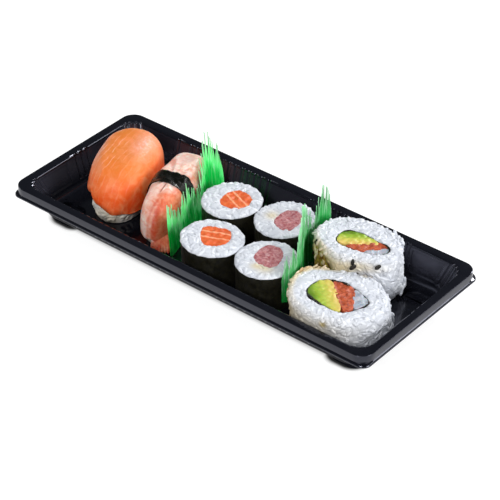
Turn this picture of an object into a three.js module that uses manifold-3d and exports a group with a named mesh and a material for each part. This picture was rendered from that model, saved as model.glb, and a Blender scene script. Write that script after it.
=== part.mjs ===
// Takeaway sushi tray with its sushi: two nigiri, four small rolls and two large rolls, kept apart by two
// green grass-shaped dividers. Millimetres, +Z up, +X along the tray, origin on the table under its middle.
import * as THREE from 'three';
import { mergeVertices } from 'three/addons/utils/BufferGeometryUtils.js';
import Module from 'manifold-3d';

const wasm = await Module();
wasm.setup();

const TURN = Math.PI * 2;
const RIGHT_ANGLE = Math.PI / 2;
const GAP = 0.35;            // clearance between pieces that touch
const FIT = 0.5;             // clearance round a roll's filling

// ---------- driving dimensions ----------

// Tray
const LENGTH = 219;
const WIDTH = 90;
const RIM_HEIGHT = 20;
const CORNER_RADIUS = 7;     // at the flange's edge, growing with the inset
const CORNER_GROWTH = 0.45;
const LIP_RADIUS = 4.6;      // the lip's corners are sharper than the flange's
const FLANGE_WIDTH = 5;
const SKIRT_DROP = 3.8;      // upright band under the flange's edge
const LIP_DROP = 5.8;        // bottom of the outward lip, below the flange
const SHEET = 1;             // thickness of the moulded sheet
const WALL_DRAFT = 3.6;      // how far the wall leans in from flange to floor
const FOOT_HEIGHT = 2.5;
const FLOOR_TOP = FOOT_HEIGHT + SHEET;
const FOOT = { x: 88.5, y: 26, halfX: 9.5, halfY: 7.5, radius: 6 };
const CORNER_STEPS = 6;

// Flutes and plain panels pressed into the tray's wall
const FLUTE = { halfWidth: 1.25, depth: 0.55, bottom: 6.5, top: 19.3 };
const LONG_WALL_FLUTES = { first: 13.4, pitch: 4.2, count: 13, single: 72.3 };
const SHORT_WALL_FLUTES = [-4, 0, 4];
const CORNER_FLUTE_ANGLES = [0.3, 0.64, 0.98, 1.28];
const PANEL = { depth: 0.35, bottom: 7, top: 17.8 };
const LONG_WALL_PANEL = { centre: 85, width: 20 };
const SHORT_WALL_PANEL = { centre: 20, width: 18 };

// Food
const FOOD_BASE = FLOOR_TOP + GAP;
const NORI = 0.5;
const NORI_DROP = 1.4;       // how far a small roll's nori stops below its cut face
const GRAIN = { length: 5.6, width: 2.4 };
const SEED = { length: 3.4, width: 2, height: 1.5 };
const MORSELS_A_ROLL = 15;
const COATED = { bottom: 3.5, top: 2.2 };    // uncoated margins of a large roll's side
const SUNK = 0.35;           // how deep a grain's or a seed's middle lies under the roll's surface

// Small rolls: centre of the cut face, half sizes along x and y, and the cut outline of the filling, with
// each point measured from the centre of the face
const SMALL_ROLLS = [
  {
    name: 'hosomaki_salmon_back', filling: 'salmon', seed: 3,
    centre: [-12.3, 9.6], half: [14.9, 15.2], top: 24.5,
    outline: [[-3.4, -5], [-4.9, 2.9], [-2.6, 8], [3, 8.2], [8.3, 5.4], [8.8, -0.4], [6.2, -5], [2.4, -6.4]],
  },
  {
    name: 'hosomaki_salmon_front', filling: 'salmon', seed: 8,
    foot: [0.2, -19], centre: [0.4, -20.4], half: [15.6, 14.6], top: 24,
    outline: [[-8.8, 4.4], [-3.4, 7.8], [3.2, 9.6], [6.6, 5.8], [7.8, 0], [4.6, -5.4], [-0.6, -6], [-5, -2]],
  },
  {
    name: 'hosomaki_tuna_back', filling: 'tuna', seed: 15,
    centre: [17.4, 13.6], half: [14.2, 15.6], top: 24,
    outline: [[-2.2, -5.2], [-4, 1], [-2.6, 7.4], [1.8, 8.4], [6.2, 5.4], [8.2, 0], [7.4, -6.6], [2.8, -7.6]],
  },
  {
    name: 'hosomaki_tuna_front', filling: 'tuna', seed: 21,
    centre: [31, -17.4], half: [14.5, 15.2], top: 24,
    outline: [[-4.4, -3.4], [-6.8, 2.6], [-6.6, 8.4], [-3, 10.6], [2, 9.6], [5.6, 4.4], [6.6, -3], [1.4, -5]],
  },
];

// Large rolls: the sides that press on each other are flattened at a distance from the centre, at an angle.
// A cut through the filling has an angle and a distance too: the avocado and the surimi lie beyond theirs,
// and the salmon fills the rest, with the tip beyond the avocado
const LARGE_ROLLS = [
  {
    name: 'uramaki_front', seed: 5,
    foot: [74.2, -14.4], centre: [73.8, -18.3], half: [24.9, 20.8], top: 24.8,
    pressed: { angle: 1.99, distance: 18 },
    core: [[-13.2, -6.6], [-13.2, 2.6], [-8, 7.2], [1, 8.2], [9, 6.6], [16.2, 3], [13.8, -4.4], [9.6, -10.8],
      [1, -11.4], [-7, -11.4]],
    cuts: { avocado: { angle: 3.99, at: 0.8 }, surimi: { angle: 0.6, at: 7.5 } },
  },
  {
    name: 'uramaki_back', seed: 12,
    foot: [59.6, 17.8], centre: [60.2, 15], half: [22.8, 17.4], top: 30,
    pressed: { angle: -1.15, distance: 15.8 },
    core: [[-8.6, -6.2], [-10.4, 0.6], [-7.6, 4.4], [-1, 6], [7.6, 5], [15.6, 4.6], [17, 0.2], [10.6, -5.6],
      [2.6, -7.2], [-4.4, -7.6]],
    cuts: {
      avocado: { angle: 2.15, at: -2.6 }, tip: { angle: 0.5, at: 9.2 }, surimi: { angle: -0.75, at: 8.6 },
    },
  },
];

// Nigiri: yaw turns the long axis from +Y towards -X, pitch raises the back end, a smaller shoulder makes
// it broader near the top, and flare widens its back end and narrows its front. Its outline is an oval with
// its corners filled out, and its crown a dome flattened a little, both by an exponent below 1
const SALMON_NIGIRI = {
  centre: [-72.5, -1.8], yaw: 0.33, halfWidth: 16.3, halfLength: 25.9, waist: 15.5, top: 34.6,
  shoulder: 0.5, pitch: 0.14, flare: 0.06,
};
const OUTLINE_POWER = 0.8;
const CROWN_POWER = 0.86;
const PITCH_HEIGHT = 10;     // height above the food's base from which the pitch is full
const SALMON_SLICE = { thickness: 5.2, rim: { height: 12.4, swing: 5, towards: -2.2 } };
const SHRIMP_NIGIRI = {
  centre: [-43.8, 2.5], yaw: 0.28, halfWidth: 11, halfLength: 29.8, waist: 14.5, top: 30.8,
  shoulder: 0.48, pitch: 0.02, flare: 0.14,
};
const SHRIMP = {
  thickness: 4, rim: { height: 9.4, swing: 3.8, towards: Math.PI },
  crease: { depth: 1.4, halfWidth: 0.12 }, ridge: 0.6, ridges: 7,
};
const TAIL = {
  x: 6.9, y: -27.2, lift: 4.4, turn: 0.35, spread: 0.2, slope: 0.35,
  halfLength: 5.8, halfWidth: 2.5, halfHeight: 1.8,
};
const BAND = { at: -4, width: 9 };

// Dividers: the route of the sheet seen from above, front to back, with the heights of its foot and of its
// tips along it, and how far its top leans along x
const DIVIDER_SHEET = 0.5;
const DIVIDERS = [
  {
    name: 'divider_left', seed: 41,
    route: [[-22.4, -24.5], [-26, -12], [-29.4, 2], [-31.6, 12], [-34, 21], [-34.4, 31]],
    foot: [4, 4, 4, 4, 4, 4], tips: [36, 26, 33, 24, 52, 31], lean: [-4.5, -4.5, -4.5, -5, -4.5, -4.5],
  },
  {
    name: 'divider_right', seed: 57,
    route: [[46.2, -24.5], [47.4, -15], [42.6, -4], [37.6, 4], [34.7, 15], [35, 26.5]],
    foot: [10, 6, 4, 4, 4, 4], tips: [32, 37, 42, 46, 51, 42, 31, 51, 40], lean: [-1, -1, -1, -0.5, 0.3, 0.5],
  },
];
const BLADES = 21;
const BLADE = { length: 9, unevenTip: 3, unevenRoot: 4 };
const DIVIDER_HEIGHT = 46;

// ---------- materials ----------

function material(color, roughness, metalness = 0) {
  return () => new THREE.MeshStandardMaterial({ color, roughness, metalness });
}

const LOOKS = {
  tray: material(0x141418, 0.25),
  rice: material(0xdfe4ea, 0.55),
  nori: material(0x1c1a14, 0.45),
  salmon: material(0xef7a45, 0.4),
  tuna: material(0xbd6a70, 0.5),
  avocado: material(0xb4c850, 0.5),
  surimi: material(0xd9dde4, 0.5),
  shrimp: material(0xf2b49c, 0.4),
  divider: material(0x1f9a4c, 0.35),
};

// ---------- solids ----------

function seededRandom(seed) {
  let state = seed;
  return () => {
    state = (state + 0x6d2b79f5) | 0;
    let mixed = Math.imul(state ^ (state >>> 15), 1 | state);
    mixed = (mixed + Math.imul(mixed ^ (mixed >>> 7), 61 | mixed)) ^ mixed;
    return ((mixed ^ (mixed >>> 14)) >>> 0) / 4294967296;
  };
}

// Smooth uneven value round a closed outline, between about -1 and 1
function unevenness(angle, seed) {
  return 0.5 * Math.sin(2 * angle + seed) + 0.3 * Math.sin(3 * angle + seed * 1.7)
    + 0.2 * Math.sin(5 * angle + seed * 2.3);
}

// Value on a line of evenly spaced stations, at 0 to 1 along it
function along(values, position) {
  const place = position * (values.length - 1);
  const before = Math.min(Math.floor(place), values.length - 2);
  return THREE.MathUtils.lerp(values[before], values[before + 1], place - before);
}

function signedVolume(points, faces) {
  let volume = 0;
  for (let i = 0; i < faces.length; i += 3) {
    const [a, b, c] = [points[faces[i]], points[faces[i + 1]], points[faces[i + 2]]];
    volume += a.dot(b.clone().cross(c)) / 6;
  }
  return volume;
}

function facetedGeometry(points, faces) {
  const turned = signedVolume(points, faces) < 0 ? faces.slice().reverse() : faces;
  const geometry = new THREE.BufferGeometry();
  const coordinates = points.flatMap((point) => point.toArray());
  geometry.setAttribute('position', new THREE.Float32BufferAttribute(coordinates, 3));
  geometry.setIndex(turned);
  return geometry;
}

function middle(ring) {
  const sum = ring.reduce((total, point) => total.add(point), new THREE.Vector3());
  return sum.divideScalar(ring.length);
}

// Solid skin through rings of equal count: either capped at both ends, or closed on itself like a hoop
function loft(rings, hoop = false) {
  const count = rings[0].length;
  const points = rings.flat();
  const faces = [];
  const strips = hoop ? rings.length : rings.length - 1;
  for (let strip = 0; strip < strips; strip++) {
    const here = strip * count;
    const there = ((strip + 1) % rings.length) * count;
    for (let i = 0; i < count; i++) {
      const j = (i + 1) % count;
      faces.push(here + i, here + j, there + j, here + i, there + j, there + i);
    }
  }
  if (!hoop) {
    const last = (rings.length - 1) * count;
    const [first, second] = [points.length, points.length + 1];
    points.push(middle(rings[0]), middle(rings.at(-1)));
    for (let i = 0; i < count; i++) {
      const j = (i + 1) % count;
      faces.push(first, j, i, second, last + i, last + j);
    }
  }
  return facetedGeometry(points, faces);
}

function toSolid(geometry) {
  const bare = geometry.clone();
  bare.deleteAttribute('normal');
  bare.deleteAttribute('uv');
  const merged = mergeVertices(bare, 1e-4);
  const vertProperties = new Float32Array(merged.attributes.position.array);
  const triVerts = new Uint32Array(merged.index.array);
  return new wasm.Manifold(new wasm.Mesh({ numProp: 3, vertProperties, triVerts }));
}

function fromSolid(solid) {
  const { vertProperties, triVerts } = solid.getMesh();
  const geometry = new THREE.BufferGeometry();
  geometry.setAttribute('position', new THREE.Float32BufferAttribute(vertProperties, 3));
  geometry.setIndex([...triVerts]);
  return geometry;
}

function subMesh(name, geometry, look) {
  geometry.computeVertexNormals();
  const mesh = new THREE.Mesh(geometry, look());
  mesh.name = name;
  return mesh;
}

// ---------- tray ----------

function cornerRadius(inset) {
  return CORNER_RADIUS + inset * CORNER_GROWTH;
}

function roundedRectangle(halfX, halfY, radius, z, steps = CORNER_STEPS) {
  const ring = [];
  for (let corner = 0; corner < 4; corner++) {
    const side = [[1, 1], [-1, 1], [-1, -1], [1, -1]][corner];
    for (let step = 0; step <= steps; step++) {
      const angle = (corner + step / steps) * RIGHT_ANGLE;
      const x = side[0] * (halfX - radius) + Math.cos(angle) * radius;
      const y = side[1] * (halfY - radius) + Math.sin(angle) * radius;
      ring.push(new THREE.Vector3(x, y, z));
    }
  }
  return ring;
}

// Stations of the sheet as [inset from the lip, height, corner radius], from the floor's edge up the wall,
// over the flange, round the lip and back down the outside
function trayStations() {
  const wallTop = FLANGE_WIDTH + 0.5;
  const wallFoot = wallTop + WALL_DRAFT;
  const skirtFoot = RIM_HEIGHT - SKIRT_DROP;
  const lipFoot = RIM_HEIGHT - LIP_DROP;
  const underside = FOOT_HEIGHT;
  return [
    [wallFoot + 3, FLOOR_TOP], [wallFoot + 1.3, FLOOR_TOP + 0.8], [wallFoot, FLOOR_TOP + 2.6],
    [wallTop, RIM_HEIGHT - 0.7], [wallTop - 0.5, RIM_HEIGHT], [0.9, RIM_HEIGHT], [0.5, RIM_HEIGHT - 0.5],
    [0.4, skirtFoot], [0.8, skirtFoot - 0.5], [0, skirtFoot - 0.9, LIP_RADIUS], [0, lipFoot, LIP_RADIUS],
    [SHEET, lipFoot, LIP_RADIUS], [SHEET + 0.4, RIM_HEIGHT - SHEET], [wallTop - SHEET, RIM_HEIGHT - SHEET],
    [wallFoot - SHEET, FLOOR_TOP + 2.4], [wallFoot + 0.6, underside + 0.6], [wallFoot + 2.6, underside],
  ];
}

function traySheet() {
  const rings = trayStations().map(([inset, z, radius = cornerRadius(inset)]) => (
    roundedRectangle(LENGTH / 2 - inset, WIDTH / 2 - inset, radius, z)
  ));
  return toSolid(loft(rings));
}

function footBlock(sideX, sideY, grow, bottom, top) {
  const ring = (extra, z) => roundedRectangle(FOOT.halfX + extra, FOOT.halfY + extra, FOOT.radius, z, 3);
  const block = loft([ring(grow - 0.7, bottom), ring(grow, top)]);
  block.translate(sideX * FOOT.x, sideY * FOOT.y, 0);
  return toSolid(block);
}

// Point on the inside of the wall: on a straight side at a distance from its middle, or on a corner
function wallPoint({ angle, offset, corner }, z) {
  const drop = (RIM_HEIGHT - 0.7 - z) / (RIM_HEIGHT - 0.7 - FLOOR_TOP - 2.6);
  const inset = FLANGE_WIDTH + 0.5 + WALL_DRAFT * drop;
  const normal = new THREE.Vector3(Math.cos(angle), Math.sin(angle), 0);
  const half = new THREE.Vector3(LENGTH / 2 - inset, WIDTH / 2 - inset, 0);
  const point = new THREE.Vector3(0, 0, z);
  if (corner) {
    const radius = cornerRadius(inset);
    point.x = Math.sign(normal.x) * (half.x - radius) + normal.x * radius;
    point.y = Math.sign(normal.y) * (half.y - radius) + normal.y * radius;
    return point;
  }
  point.x = normal.x * half.x - normal.y * offset;
  point.y = normal.y * half.y + normal.x * offset;
  return point;
}

// Turns a cutter that stands along +Y, with its depth along +Z, to lie in the wall at a place
function setInWall(geometry, place, bottom, top) {
  const low = wallPoint(place, bottom);
  const high = wallPoint(place, top);
  const up = high.clone().sub(low).normalize();
  const side = new THREE.Vector3(-Math.sin(place.angle), Math.cos(place.angle), 0);
  const out = side.clone().cross(up);
  geometry.applyMatrix4(new THREE.Matrix4().makeBasis(side, up, out));
  const centre = low.add(high).multiplyScalar(0.5);
  geometry.translate(centre.x, centre.y, centre.z);
  return toSolid(geometry);
}

function flutePlaces() {
  const places = [];
  const { first, pitch, count, single } = LONG_WALL_FLUTES;
  const offsets = Array.from({ length: count }, (_, i) => first + i * pitch).concat(single);
  for (const side of [-1, 1]) {
    for (const offset of offsets) {
      places.push({ angle: side * RIGHT_ANGLE, offset }, { angle: side * RIGHT_ANGLE, offset: -offset });
    }
    for (const offset of SHORT_WALL_FLUTES) places.push({ angle: side > 0 ? 0 : Math.PI, offset });
  }
  for (let corner = 0; corner < 4; corner++) {
    for (const turn of CORNER_FLUTE_ANGLES) places.push({ angle: corner * RIGHT_ANGLE + turn, corner: true });
  }
  return places;
}

function panelPlaces() {
  const places = [];
  for (const side of [-1, 1]) {
    for (const end of [-1, 1]) {
      const [long, short] = [LONG_WALL_PANEL, SHORT_WALL_PANEL];
      places.push({ angle: side * RIGHT_ANGLE, offset: end * long.centre, width: long.width });
      places.push({ angle: side > 0 ? 0 : Math.PI, offset: end * short.centre, width: short.width });
    }
  }
  return places;
}

function fluteCutter(place) {
  const cutter = new THREE.CylinderGeometry(1, 1, FLUTE.top - FLUTE.bottom, 4);
  cutter.scale(FLUTE.halfWidth, 1, FLUTE.depth);
  return setInWall(cutter, place, FLUTE.bottom, FLUTE.top);
}

function panelCutter(place) {
  const cutter = new THREE.BoxGeometry(place.width, PANEL.top - PANEL.bottom, PANEL.depth * 2);
  return setInWall(cutter, place, PANEL.bottom, PANEL.top);
}

function tray() {
  let solid = traySheet();
  for (const sideX of [-1, 1]) {
    for (const sideY of [-1, 1]) {
      solid = solid.add(footBlock(sideX, sideY, 0, 0, FLOOR_TOP - SHEET / 2));
      solid = solid.subtract(footBlock(sideX, sideY, -SHEET, SHEET, FLOOR_TOP + 0.5));
    }
  }
  for (const place of flutePlaces()) solid = solid.subtract(fluteCutter(place));
  for (const place of panelPlaces()) solid = solid.subtract(panelCutter(place));
  return subMesh('tray', fromSolid(solid), LOOKS.tray);
}

// ---------- rolls ----------

// Distance from the origin to an outline of [x, y] points, along an angle
function reach(outline, angle) {
  const [cos, sin] = [Math.cos(angle), Math.sin(angle)];
  let farthest = 0;
  for (let i = 0; i < outline.length; i++) {
    const [ax, ay] = outline[i];
    const [bx, by] = outline[(i + 1) % outline.length];
    const across = cos * (by - ay) - sin * (bx - ax);
    const distance = (ax * (by - ay) - ay * (bx - ax)) / across;
    const share = (ax * sin - ay * cos) / across;
    if (distance > 0 && share >= -1e-9 && share <= 1 + 1e-9) farthest = Math.max(farthest, distance);
  }
  return farthest;
}

// Outline rounded off by a closed curve through its points
function softened(outline, samples = 30) {
  const points = outline.map(([x, y]) => new THREE.Vector3(x, y, 0));
  const curve = new THREE.CatmullRomCurve3(points, true, 'centripetal');
  return curve.getPoints(samples).slice(0, -1).map((point) => [point.x, point.y]);
}

// Radius of a roll's outside at an angle: an uneven oval, flattened where it presses on its neighbour
function rollRadius(roll, angle) {
  const [a, b] = roll.half;
  const oval = 1 / Math.hypot(Math.cos(angle) / a, Math.sin(angle) / b);
  const free = oval * (1 + 0.014 * unevenness(angle, roll.seed));
  if (!roll.pressed) return free;
  const facing = Math.cos(angle - roll.pressed.angle);
  return facing > 0.3 ? Math.min(free, roll.pressed.distance / facing) : free;
}

// Point of a roll at an angle and a distance from its axis, which leans from its foot to its cut face
function rollPoint(roll, angle, distance, z) {
  const foot = roll.foot ?? roll.centre;
  const share = (z - FOOD_BASE) / (roll.top - FOOD_BASE);
  const x = THREE.MathUtils.lerp(foot[0], roll.centre[0], share);
  const y = THREE.MathUtils.lerp(foot[1], roll.centre[1], share);
  return new THREE.Vector3(x + Math.cos(angle) * distance, y + Math.sin(angle) * distance, z);
}

function rollRing(roll, count, radius, z) {
  return Array.from({ length: count }, (_, i) => {
    const angle = (i / count) * TURN;
    return rollPoint(roll, angle, radius(angle, i), z);
  });
}

// Hoop of a roll between an outer and an inner radius, with edges eased at the foot
function rollHoop(roll, count, outer, inner, top, easing) {
  const bottom = FOOD_BASE;
  const rings = [
    rollRing(roll, count, (angle) => outer(angle) - easing, bottom),
    rollRing(roll, count, outer, bottom + easing),
    rollRing(roll, count, outer, top),
    rollRing(roll, count, inner, top),
    rollRing(roll, count, inner, bottom),
  ];
  return loft(rings, true);
}

function smallRoll(roll) {
  const count = 24;
  const random = seededRandom(roll.seed);
  const outline = softened(roll.outline);
  const outside = (angle) => rollRadius(roll, angle);
  const hole = (angle) => reach(outline, angle) + FIT;
  const bump = Array.from({ length: count * 4 }, () => random() - 0.5);
  const between = (share, row) => rollRing(roll, count, (angle, i) => {
    const edge = outside(angle) + 0.2;
    return THREE.MathUtils.lerp(edge, hole(angle), share) + bump[(i + row * 7) % bump.length] * 0.5;
  }, roll.top);
  const topRow = (share, row, rise) => between(share, row).map((point, i) => {
    point.z += rise + bump[i + row * count] * 0.9;
    return point;
  });
  const nori = rollHoop(roll, count, outside, (angle) => outside(angle) - NORI, roll.top - NORI_DROP,
    0.25);
  const skin = (angle) => outside(angle) - NORI - GAP;
  const rice = loft([
    rollRing(roll, count, (angle) => skin(angle) - 0.8, FOOD_BASE),
    rollRing(roll, count, skin, FOOD_BASE + 1),
    rollRing(roll, count, skin, roll.top - NORI_DROP - 0.1),
    rollRing(roll, count, (angle) => outside(angle) + 0.3, roll.top - NORI_DROP / 2),
    topRow(0.08, 0, 0),
    topRow(0.5, 1, 0.5),
    rollRing(roll, count, hole, roll.top),
    rollRing(roll, count, hole, FOOD_BASE),
  ], true);
  const filling = loft([
    rollRing(roll, 20, (angle) => reach(outline, angle), FOOD_BASE),
    rollRing(roll, 20, (angle) => reach(outline, angle), roll.top + 0.2),
  ]);
  const group = new THREE.Group();
  group.add(
    subMesh(`${roll.name}_nori`, nori, LOOKS.nori),
    subMesh(`${roll.name}_rice`, rice, LOOKS.rice),
    subMesh(`${roll.name}_filling`, filling, LOOKS[roll.filling]),
  );
  return group;
}

// Small ellipsoid of a grain or a seed, long axis in the surface, turned by spin about the outward normal
function morsel(position, normal, spin, size) {
  const shape = new THREE.SphereGeometry(0.5, 5, 4);
  shape.scale(size.width, size.length, size.height ?? size.width);
  shape.rotateZ(spin);
  const turn = new THREE.Quaternion().setFromUnitVectors(new THREE.Vector3(0, 0, 1), normal);
  shape.applyQuaternion(turn);
  shape.translate(position.x, position.y, position.z);
  return toSolid(shape);
}

// Grains and sesame seeds half sunk in the coated side of a large roll
function coatedRice(roll, bare) {
  const random = seededRandom(roll.seed * 101);
  let solid = bare;
  for (let i = 0; i < MORSELS_A_ROLL; i++) {
    const angle = (i / MORSELS_A_ROLL) * TURN * 7 + random() * 0.5;
    const height = THREE.MathUtils.lerp(FOOD_BASE + COATED.bottom, roll.top - COATED.top, random());
    const point = rollPoint(roll, angle, rollRadius(roll, angle) - SUNK, height);
    const normal = new THREE.Vector3(Math.cos(angle), Math.sin(angle), 0);
    solid = solid.add(morsel(point, normal, random() * TURN, i % 2 ? SEED : GRAIN));
  }
  return solid;
}

function largeRoll(roll) {
  const count = 36;
  const rows = 7;
  const random = seededRandom(roll.seed);
  const core = softened(roll.core);
  const outside = (angle) => rollRadius(roll, angle);
  const hole = (angle) => reach(core, angle) + FIT;
  const bumps = Array.from({ length: count * (rows + 4) }, () => random() - 0.5);
  const rings = [];
  for (let row = 0; row <= rows; row++) {
    const share = row / rows;
    const z = THREE.MathUtils.lerp(FOOD_BASE, roll.top - 0.6, share);
    const ease = 2.2 * Math.max(0, 1 - share * 5) + (row === rows ? 0.8 : 0);
    rings.push(rollRing(roll, count, (angle, i) => outside(angle) - ease + bumps[row * count + i] * 0.7, z));
  }
  for (const [row, share] of [[1, 0.14], [2, 0.55]]) {
    const radius = (angle) => THREE.MathUtils.lerp(outside(angle), hole(angle), share);
    const ring = rollRing(roll, count, radius, roll.top);
    rings.push(ring.map((point, i) => point.setZ(roll.top + bumps[(rows + row) * count + i] * 0.9)));
  }
  rings.push(rollRing(roll, count, hole, roll.top - 0.3), rollRing(roll, count, hole, FOOD_BASE));
  const rice = coatedRice(roll, toSolid(loft(rings, true)));
  const group = new THREE.Group();
  group.add(subMesh(`${roll.name}_rice`, fromSolid(rice), LOOKS.rice), ...rollCore(roll, core));
  return group;
}

// Half space as a large block, kept to one side of a plane at an angle and distance from the roll's middle
function cutBlock(roll, { angle, at }) {
  const size = 80;
  const block = new THREE.BoxGeometry(size, size, size);
  block.translate(at + size / 2, 0, 0);
  block.rotateZ(angle);
  block.translate(roll.centre[0], roll.centre[1], roll.top);
  return toSolid(block);
}

// Nori tube in the middle of a large roll, filled with avocado, salmon and surimi side by side
function rollCore(roll, core) {
  const count = 30;
  const outer = (angle) => reach(core, angle);
  const inner = (angle) => reach(core, angle) - NORI * 1.3;
  const nori = rollHoop(roll, count, outer, inner, roll.top + 0.2, 0.2);
  const packed = (angle) => inner(angle) - GAP - 0.1;
  const filling = toSolid(loft([
    rollRing(roll, count, packed, FOOD_BASE),
    rollRing(roll, count, packed, roll.top - 0.1),
  ]));
  const beyond = ({ angle, at }, clearance = 0) => cutBlock(roll, { angle, at: at - clearance });
  const avocadoSpace = (clearance) => {
    const space = beyond(roll.cuts.avocado, clearance);
    return roll.cuts.tip ? space.subtract(beyond(roll.cuts.tip, -clearance)) : space;
  };
  const avocado = filling.intersect(avocadoSpace(0));
  const rest = filling.subtract(avocadoSpace(GAP));
  const surimi = rest.intersect(beyond(roll.cuts.surimi));
  const salmon = rest.subtract(beyond(roll.cuts.surimi, GAP));
  return [
    subMesh(`${roll.name}_nori`, nori, LOOKS.nori),
    subMesh(`${roll.name}_avocado`, fromSolid(avocado), LOOKS.avocado),
    subMesh(`${roll.name}_salmon`, fromSolid(salmon), LOOKS.salmon),
    subMesh(`${roll.name}_surimi`, fromSolid(surimi), LOOKS.surimi),
  ];
}

// ---------- nigiri ----------

function power(value, exponent) {
  return Math.sign(value) * Math.abs(value) ** exponent;
}

// Width of a nigiri at a rise, as a share of its greatest width
function nigiriSpread(nigiri, rise) {
  return rise < 0 ? 1 - 0.1 * rise * rise : power(Math.cos(rise * RIGHT_ANGLE), nigiri.shoulder);
}

// Point of a nigiri's rounded-block surface. Rise runs from -1 at the floor through 0 at the waist to 1 at
// the top, and inward is how far the point lies below the outer surface
function nigiriPoint(nigiri, angle, rise, inward = 0) {
  const spread = nigiriSpread(nigiri, rise);
  const halfWidth = nigiri.halfWidth * (1 + nigiri.flare * Math.sin(angle)) - inward;
  const x = halfWidth * spread * power(Math.cos(angle), OUTLINE_POWER);
  const y = (nigiri.halfLength - inward) * spread * power(Math.sin(angle), OUTLINE_POWER);
  const crown = nigiri.top - inward - nigiri.waist;
  const height = rise < 0 ? nigiri.waist + (nigiri.waist - FOOD_BASE) * rise
    : nigiri.waist + crown * power(Math.sin(rise * RIGHT_ANGLE), CROWN_POWER);
  const tilt = THREE.MathUtils.clamp((height - FOOD_BASE) / PITCH_HEIGHT, 0, 1) * nigiri.pitch * y;
  const point = new THREE.Vector3(x, y, height + tilt);
  point.applyAxisAngle(new THREE.Vector3(0, 0, 1), nigiri.yaw);
  return point.add(new THREE.Vector3(nigiri.centre[0], nigiri.centre[1], 0));
}

// Ring round a nigiri, with its rise and its depth below the outer surface both set by angle
function nigiriRing(nigiri, count, rise, inward) {
  return Array.from({ length: count }, (_, i) => {
    const angle = (i / count) * TURN;
    return nigiriPoint(nigiri, angle, rise(angle), inward(angle));
  });
}

// Rise of a topping's lower edge, which hangs lower on one side
function rimRise(nigiri, topping, angle) {
  const { height, swing, towards } = topping.rim;
  return (height + swing * Math.cos(angle - towards) - nigiri.waist) / (nigiri.waist - FOOD_BASE);
}

// Block of pressed rice that fills a nigiri up to the underside of its topping
function nigiriRice(nigiri, topping, seed) {
  const count = 26;
  const random = seededRandom(seed);
  const rim = (angle) => rimRise(nigiri, topping, angle);
  const shown = () => topping.thickness * 0.55 + (random() - 0.5) * 0.8;
  const below = [0, 0.5, 0.85].map((share) => nigiriRing(nigiri, count,
    (angle) => THREE.MathUtils.lerp(-1, rim(angle), share), shown));
  return loft([...below, ...domeRings(nigiri, count, rim, [0, 0.36, 0.58, 0.78, 0.92],
    () => topping.thickness + GAP)]);
}

// Rings from a topping's lower edge to just under the crown, at shares of the way up
function domeRings(nigiri, count, rim, shares, inward) {
  return shares.map((share) => nigiriRing(nigiri, count,
    (angle) => THREE.MathUtils.lerp(rim(angle), 1, share), (angle) => inward(angle, share)));
}

// Topping draped over a nigiri: its underside from crown to lower edge, then its outside back up
function draped(nigiri, topping, count, relief = () => 0) {
  const rim = (angle) => rimRise(nigiri, topping, angle);
  const inside = domeRings(nigiri, count, rim, [0.94, 0.78, 0.58, 0.36, 0], () => topping.thickness);
  const outside = domeRings(nigiri, count, rim, [0, 0.3, 0.46, 0.62, 0.78, 0.9, 0.97],
    (angle, share) => -relief(angle, share));
  return loft([...inside, ...outside]);
}

function salmonNigiri() {
  const group = new THREE.Group();
  group.add(
    subMesh('salmon_nigiri_rice', nigiriRice(SALMON_NIGIRI, SALMON_SLICE, 31), LOOKS.rice),
    subMesh('salmon_nigiri_slice', draped(SALMON_NIGIRI, SALMON_SLICE, 28), LOOKS.salmon),
  );
  return group;
}

// Butterflied shrimp: a crease along the back and shallow ridges across it
function shrimpRelief(angle, share) {
  const across = Math.cos(angle) * (1 - share);
  const crease = Math.exp(-((across / SHRIMP.crease.halfWidth) ** 2)) * SHRIMP.crease.depth * share;
  const ridge = SHRIMP.ridge * (Math.cos(Math.sin(angle) * SHRIMP.ridges) - 1);
  return ridge - crease;
}

function shrimpTail() {
  const lobes = [-1, 1].map((side) => {
    const lobe = new THREE.SphereGeometry(1, 8, 6);
    lobe.scale(TAIL.halfWidth, TAIL.halfLength, TAIL.halfHeight);
    lobe.rotateX(TAIL.slope);
    lobe.rotateZ(TAIL.turn + side * TAIL.spread);
    lobe.translate(TAIL.x + side * TAIL.halfWidth / 2, TAIL.y, FOOD_BASE + TAIL.lift);
    lobe.rotateZ(SHRIMP_NIGIRI.yaw);
    lobe.translate(SHRIMP_NIGIRI.centre[0], SHRIMP_NIGIRI.centre[1], 0);
    return toSolid(lobe);
  });
  return lobes[0].add(lobes[1]);
}

function noriBand() {
  const { at, width } = BAND;
  const sides = 15;
  const outward = -GAP;
  const rings = [];
  for (let i = 0; i <= sides; i++) {
    const sweep = THREE.MathUtils.lerp(-1, 1, i / sides);
    const section = [[-0.5, outward], [0.5, outward], [0.5, outward - NORI], [-0.5, outward - NORI]];
    rings.push(section.map(([edge, inward]) => bandPoint(sweep, at + edge * width, inward)));
  }
  return loft(rings);
}

// Point over the shrimp at a sweep from its left edge, -1, to its right edge, 1, and a distance along it
function bandPoint(sweep, distance, inward) {
  const side = sweep < 0 ? Math.PI : 0;
  const rise = THREE.MathUtils.lerp(1, rimRise(SHRIMP_NIGIRI, SHRIMP, side), Math.abs(sweep));
  const halfLength = SHRIMP_NIGIRI.halfLength * Math.max(nigiriSpread(SHRIMP_NIGIRI, rise), 0.2);
  const share = THREE.MathUtils.clamp(distance / halfLength, -0.98, 0.98);
  const angle = Math.asin(power(share, 1 / OUTLINE_POWER));
  return nigiriPoint(SHRIMP_NIGIRI, sweep < 0 ? Math.PI - angle : angle, rise, inward);
}

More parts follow.
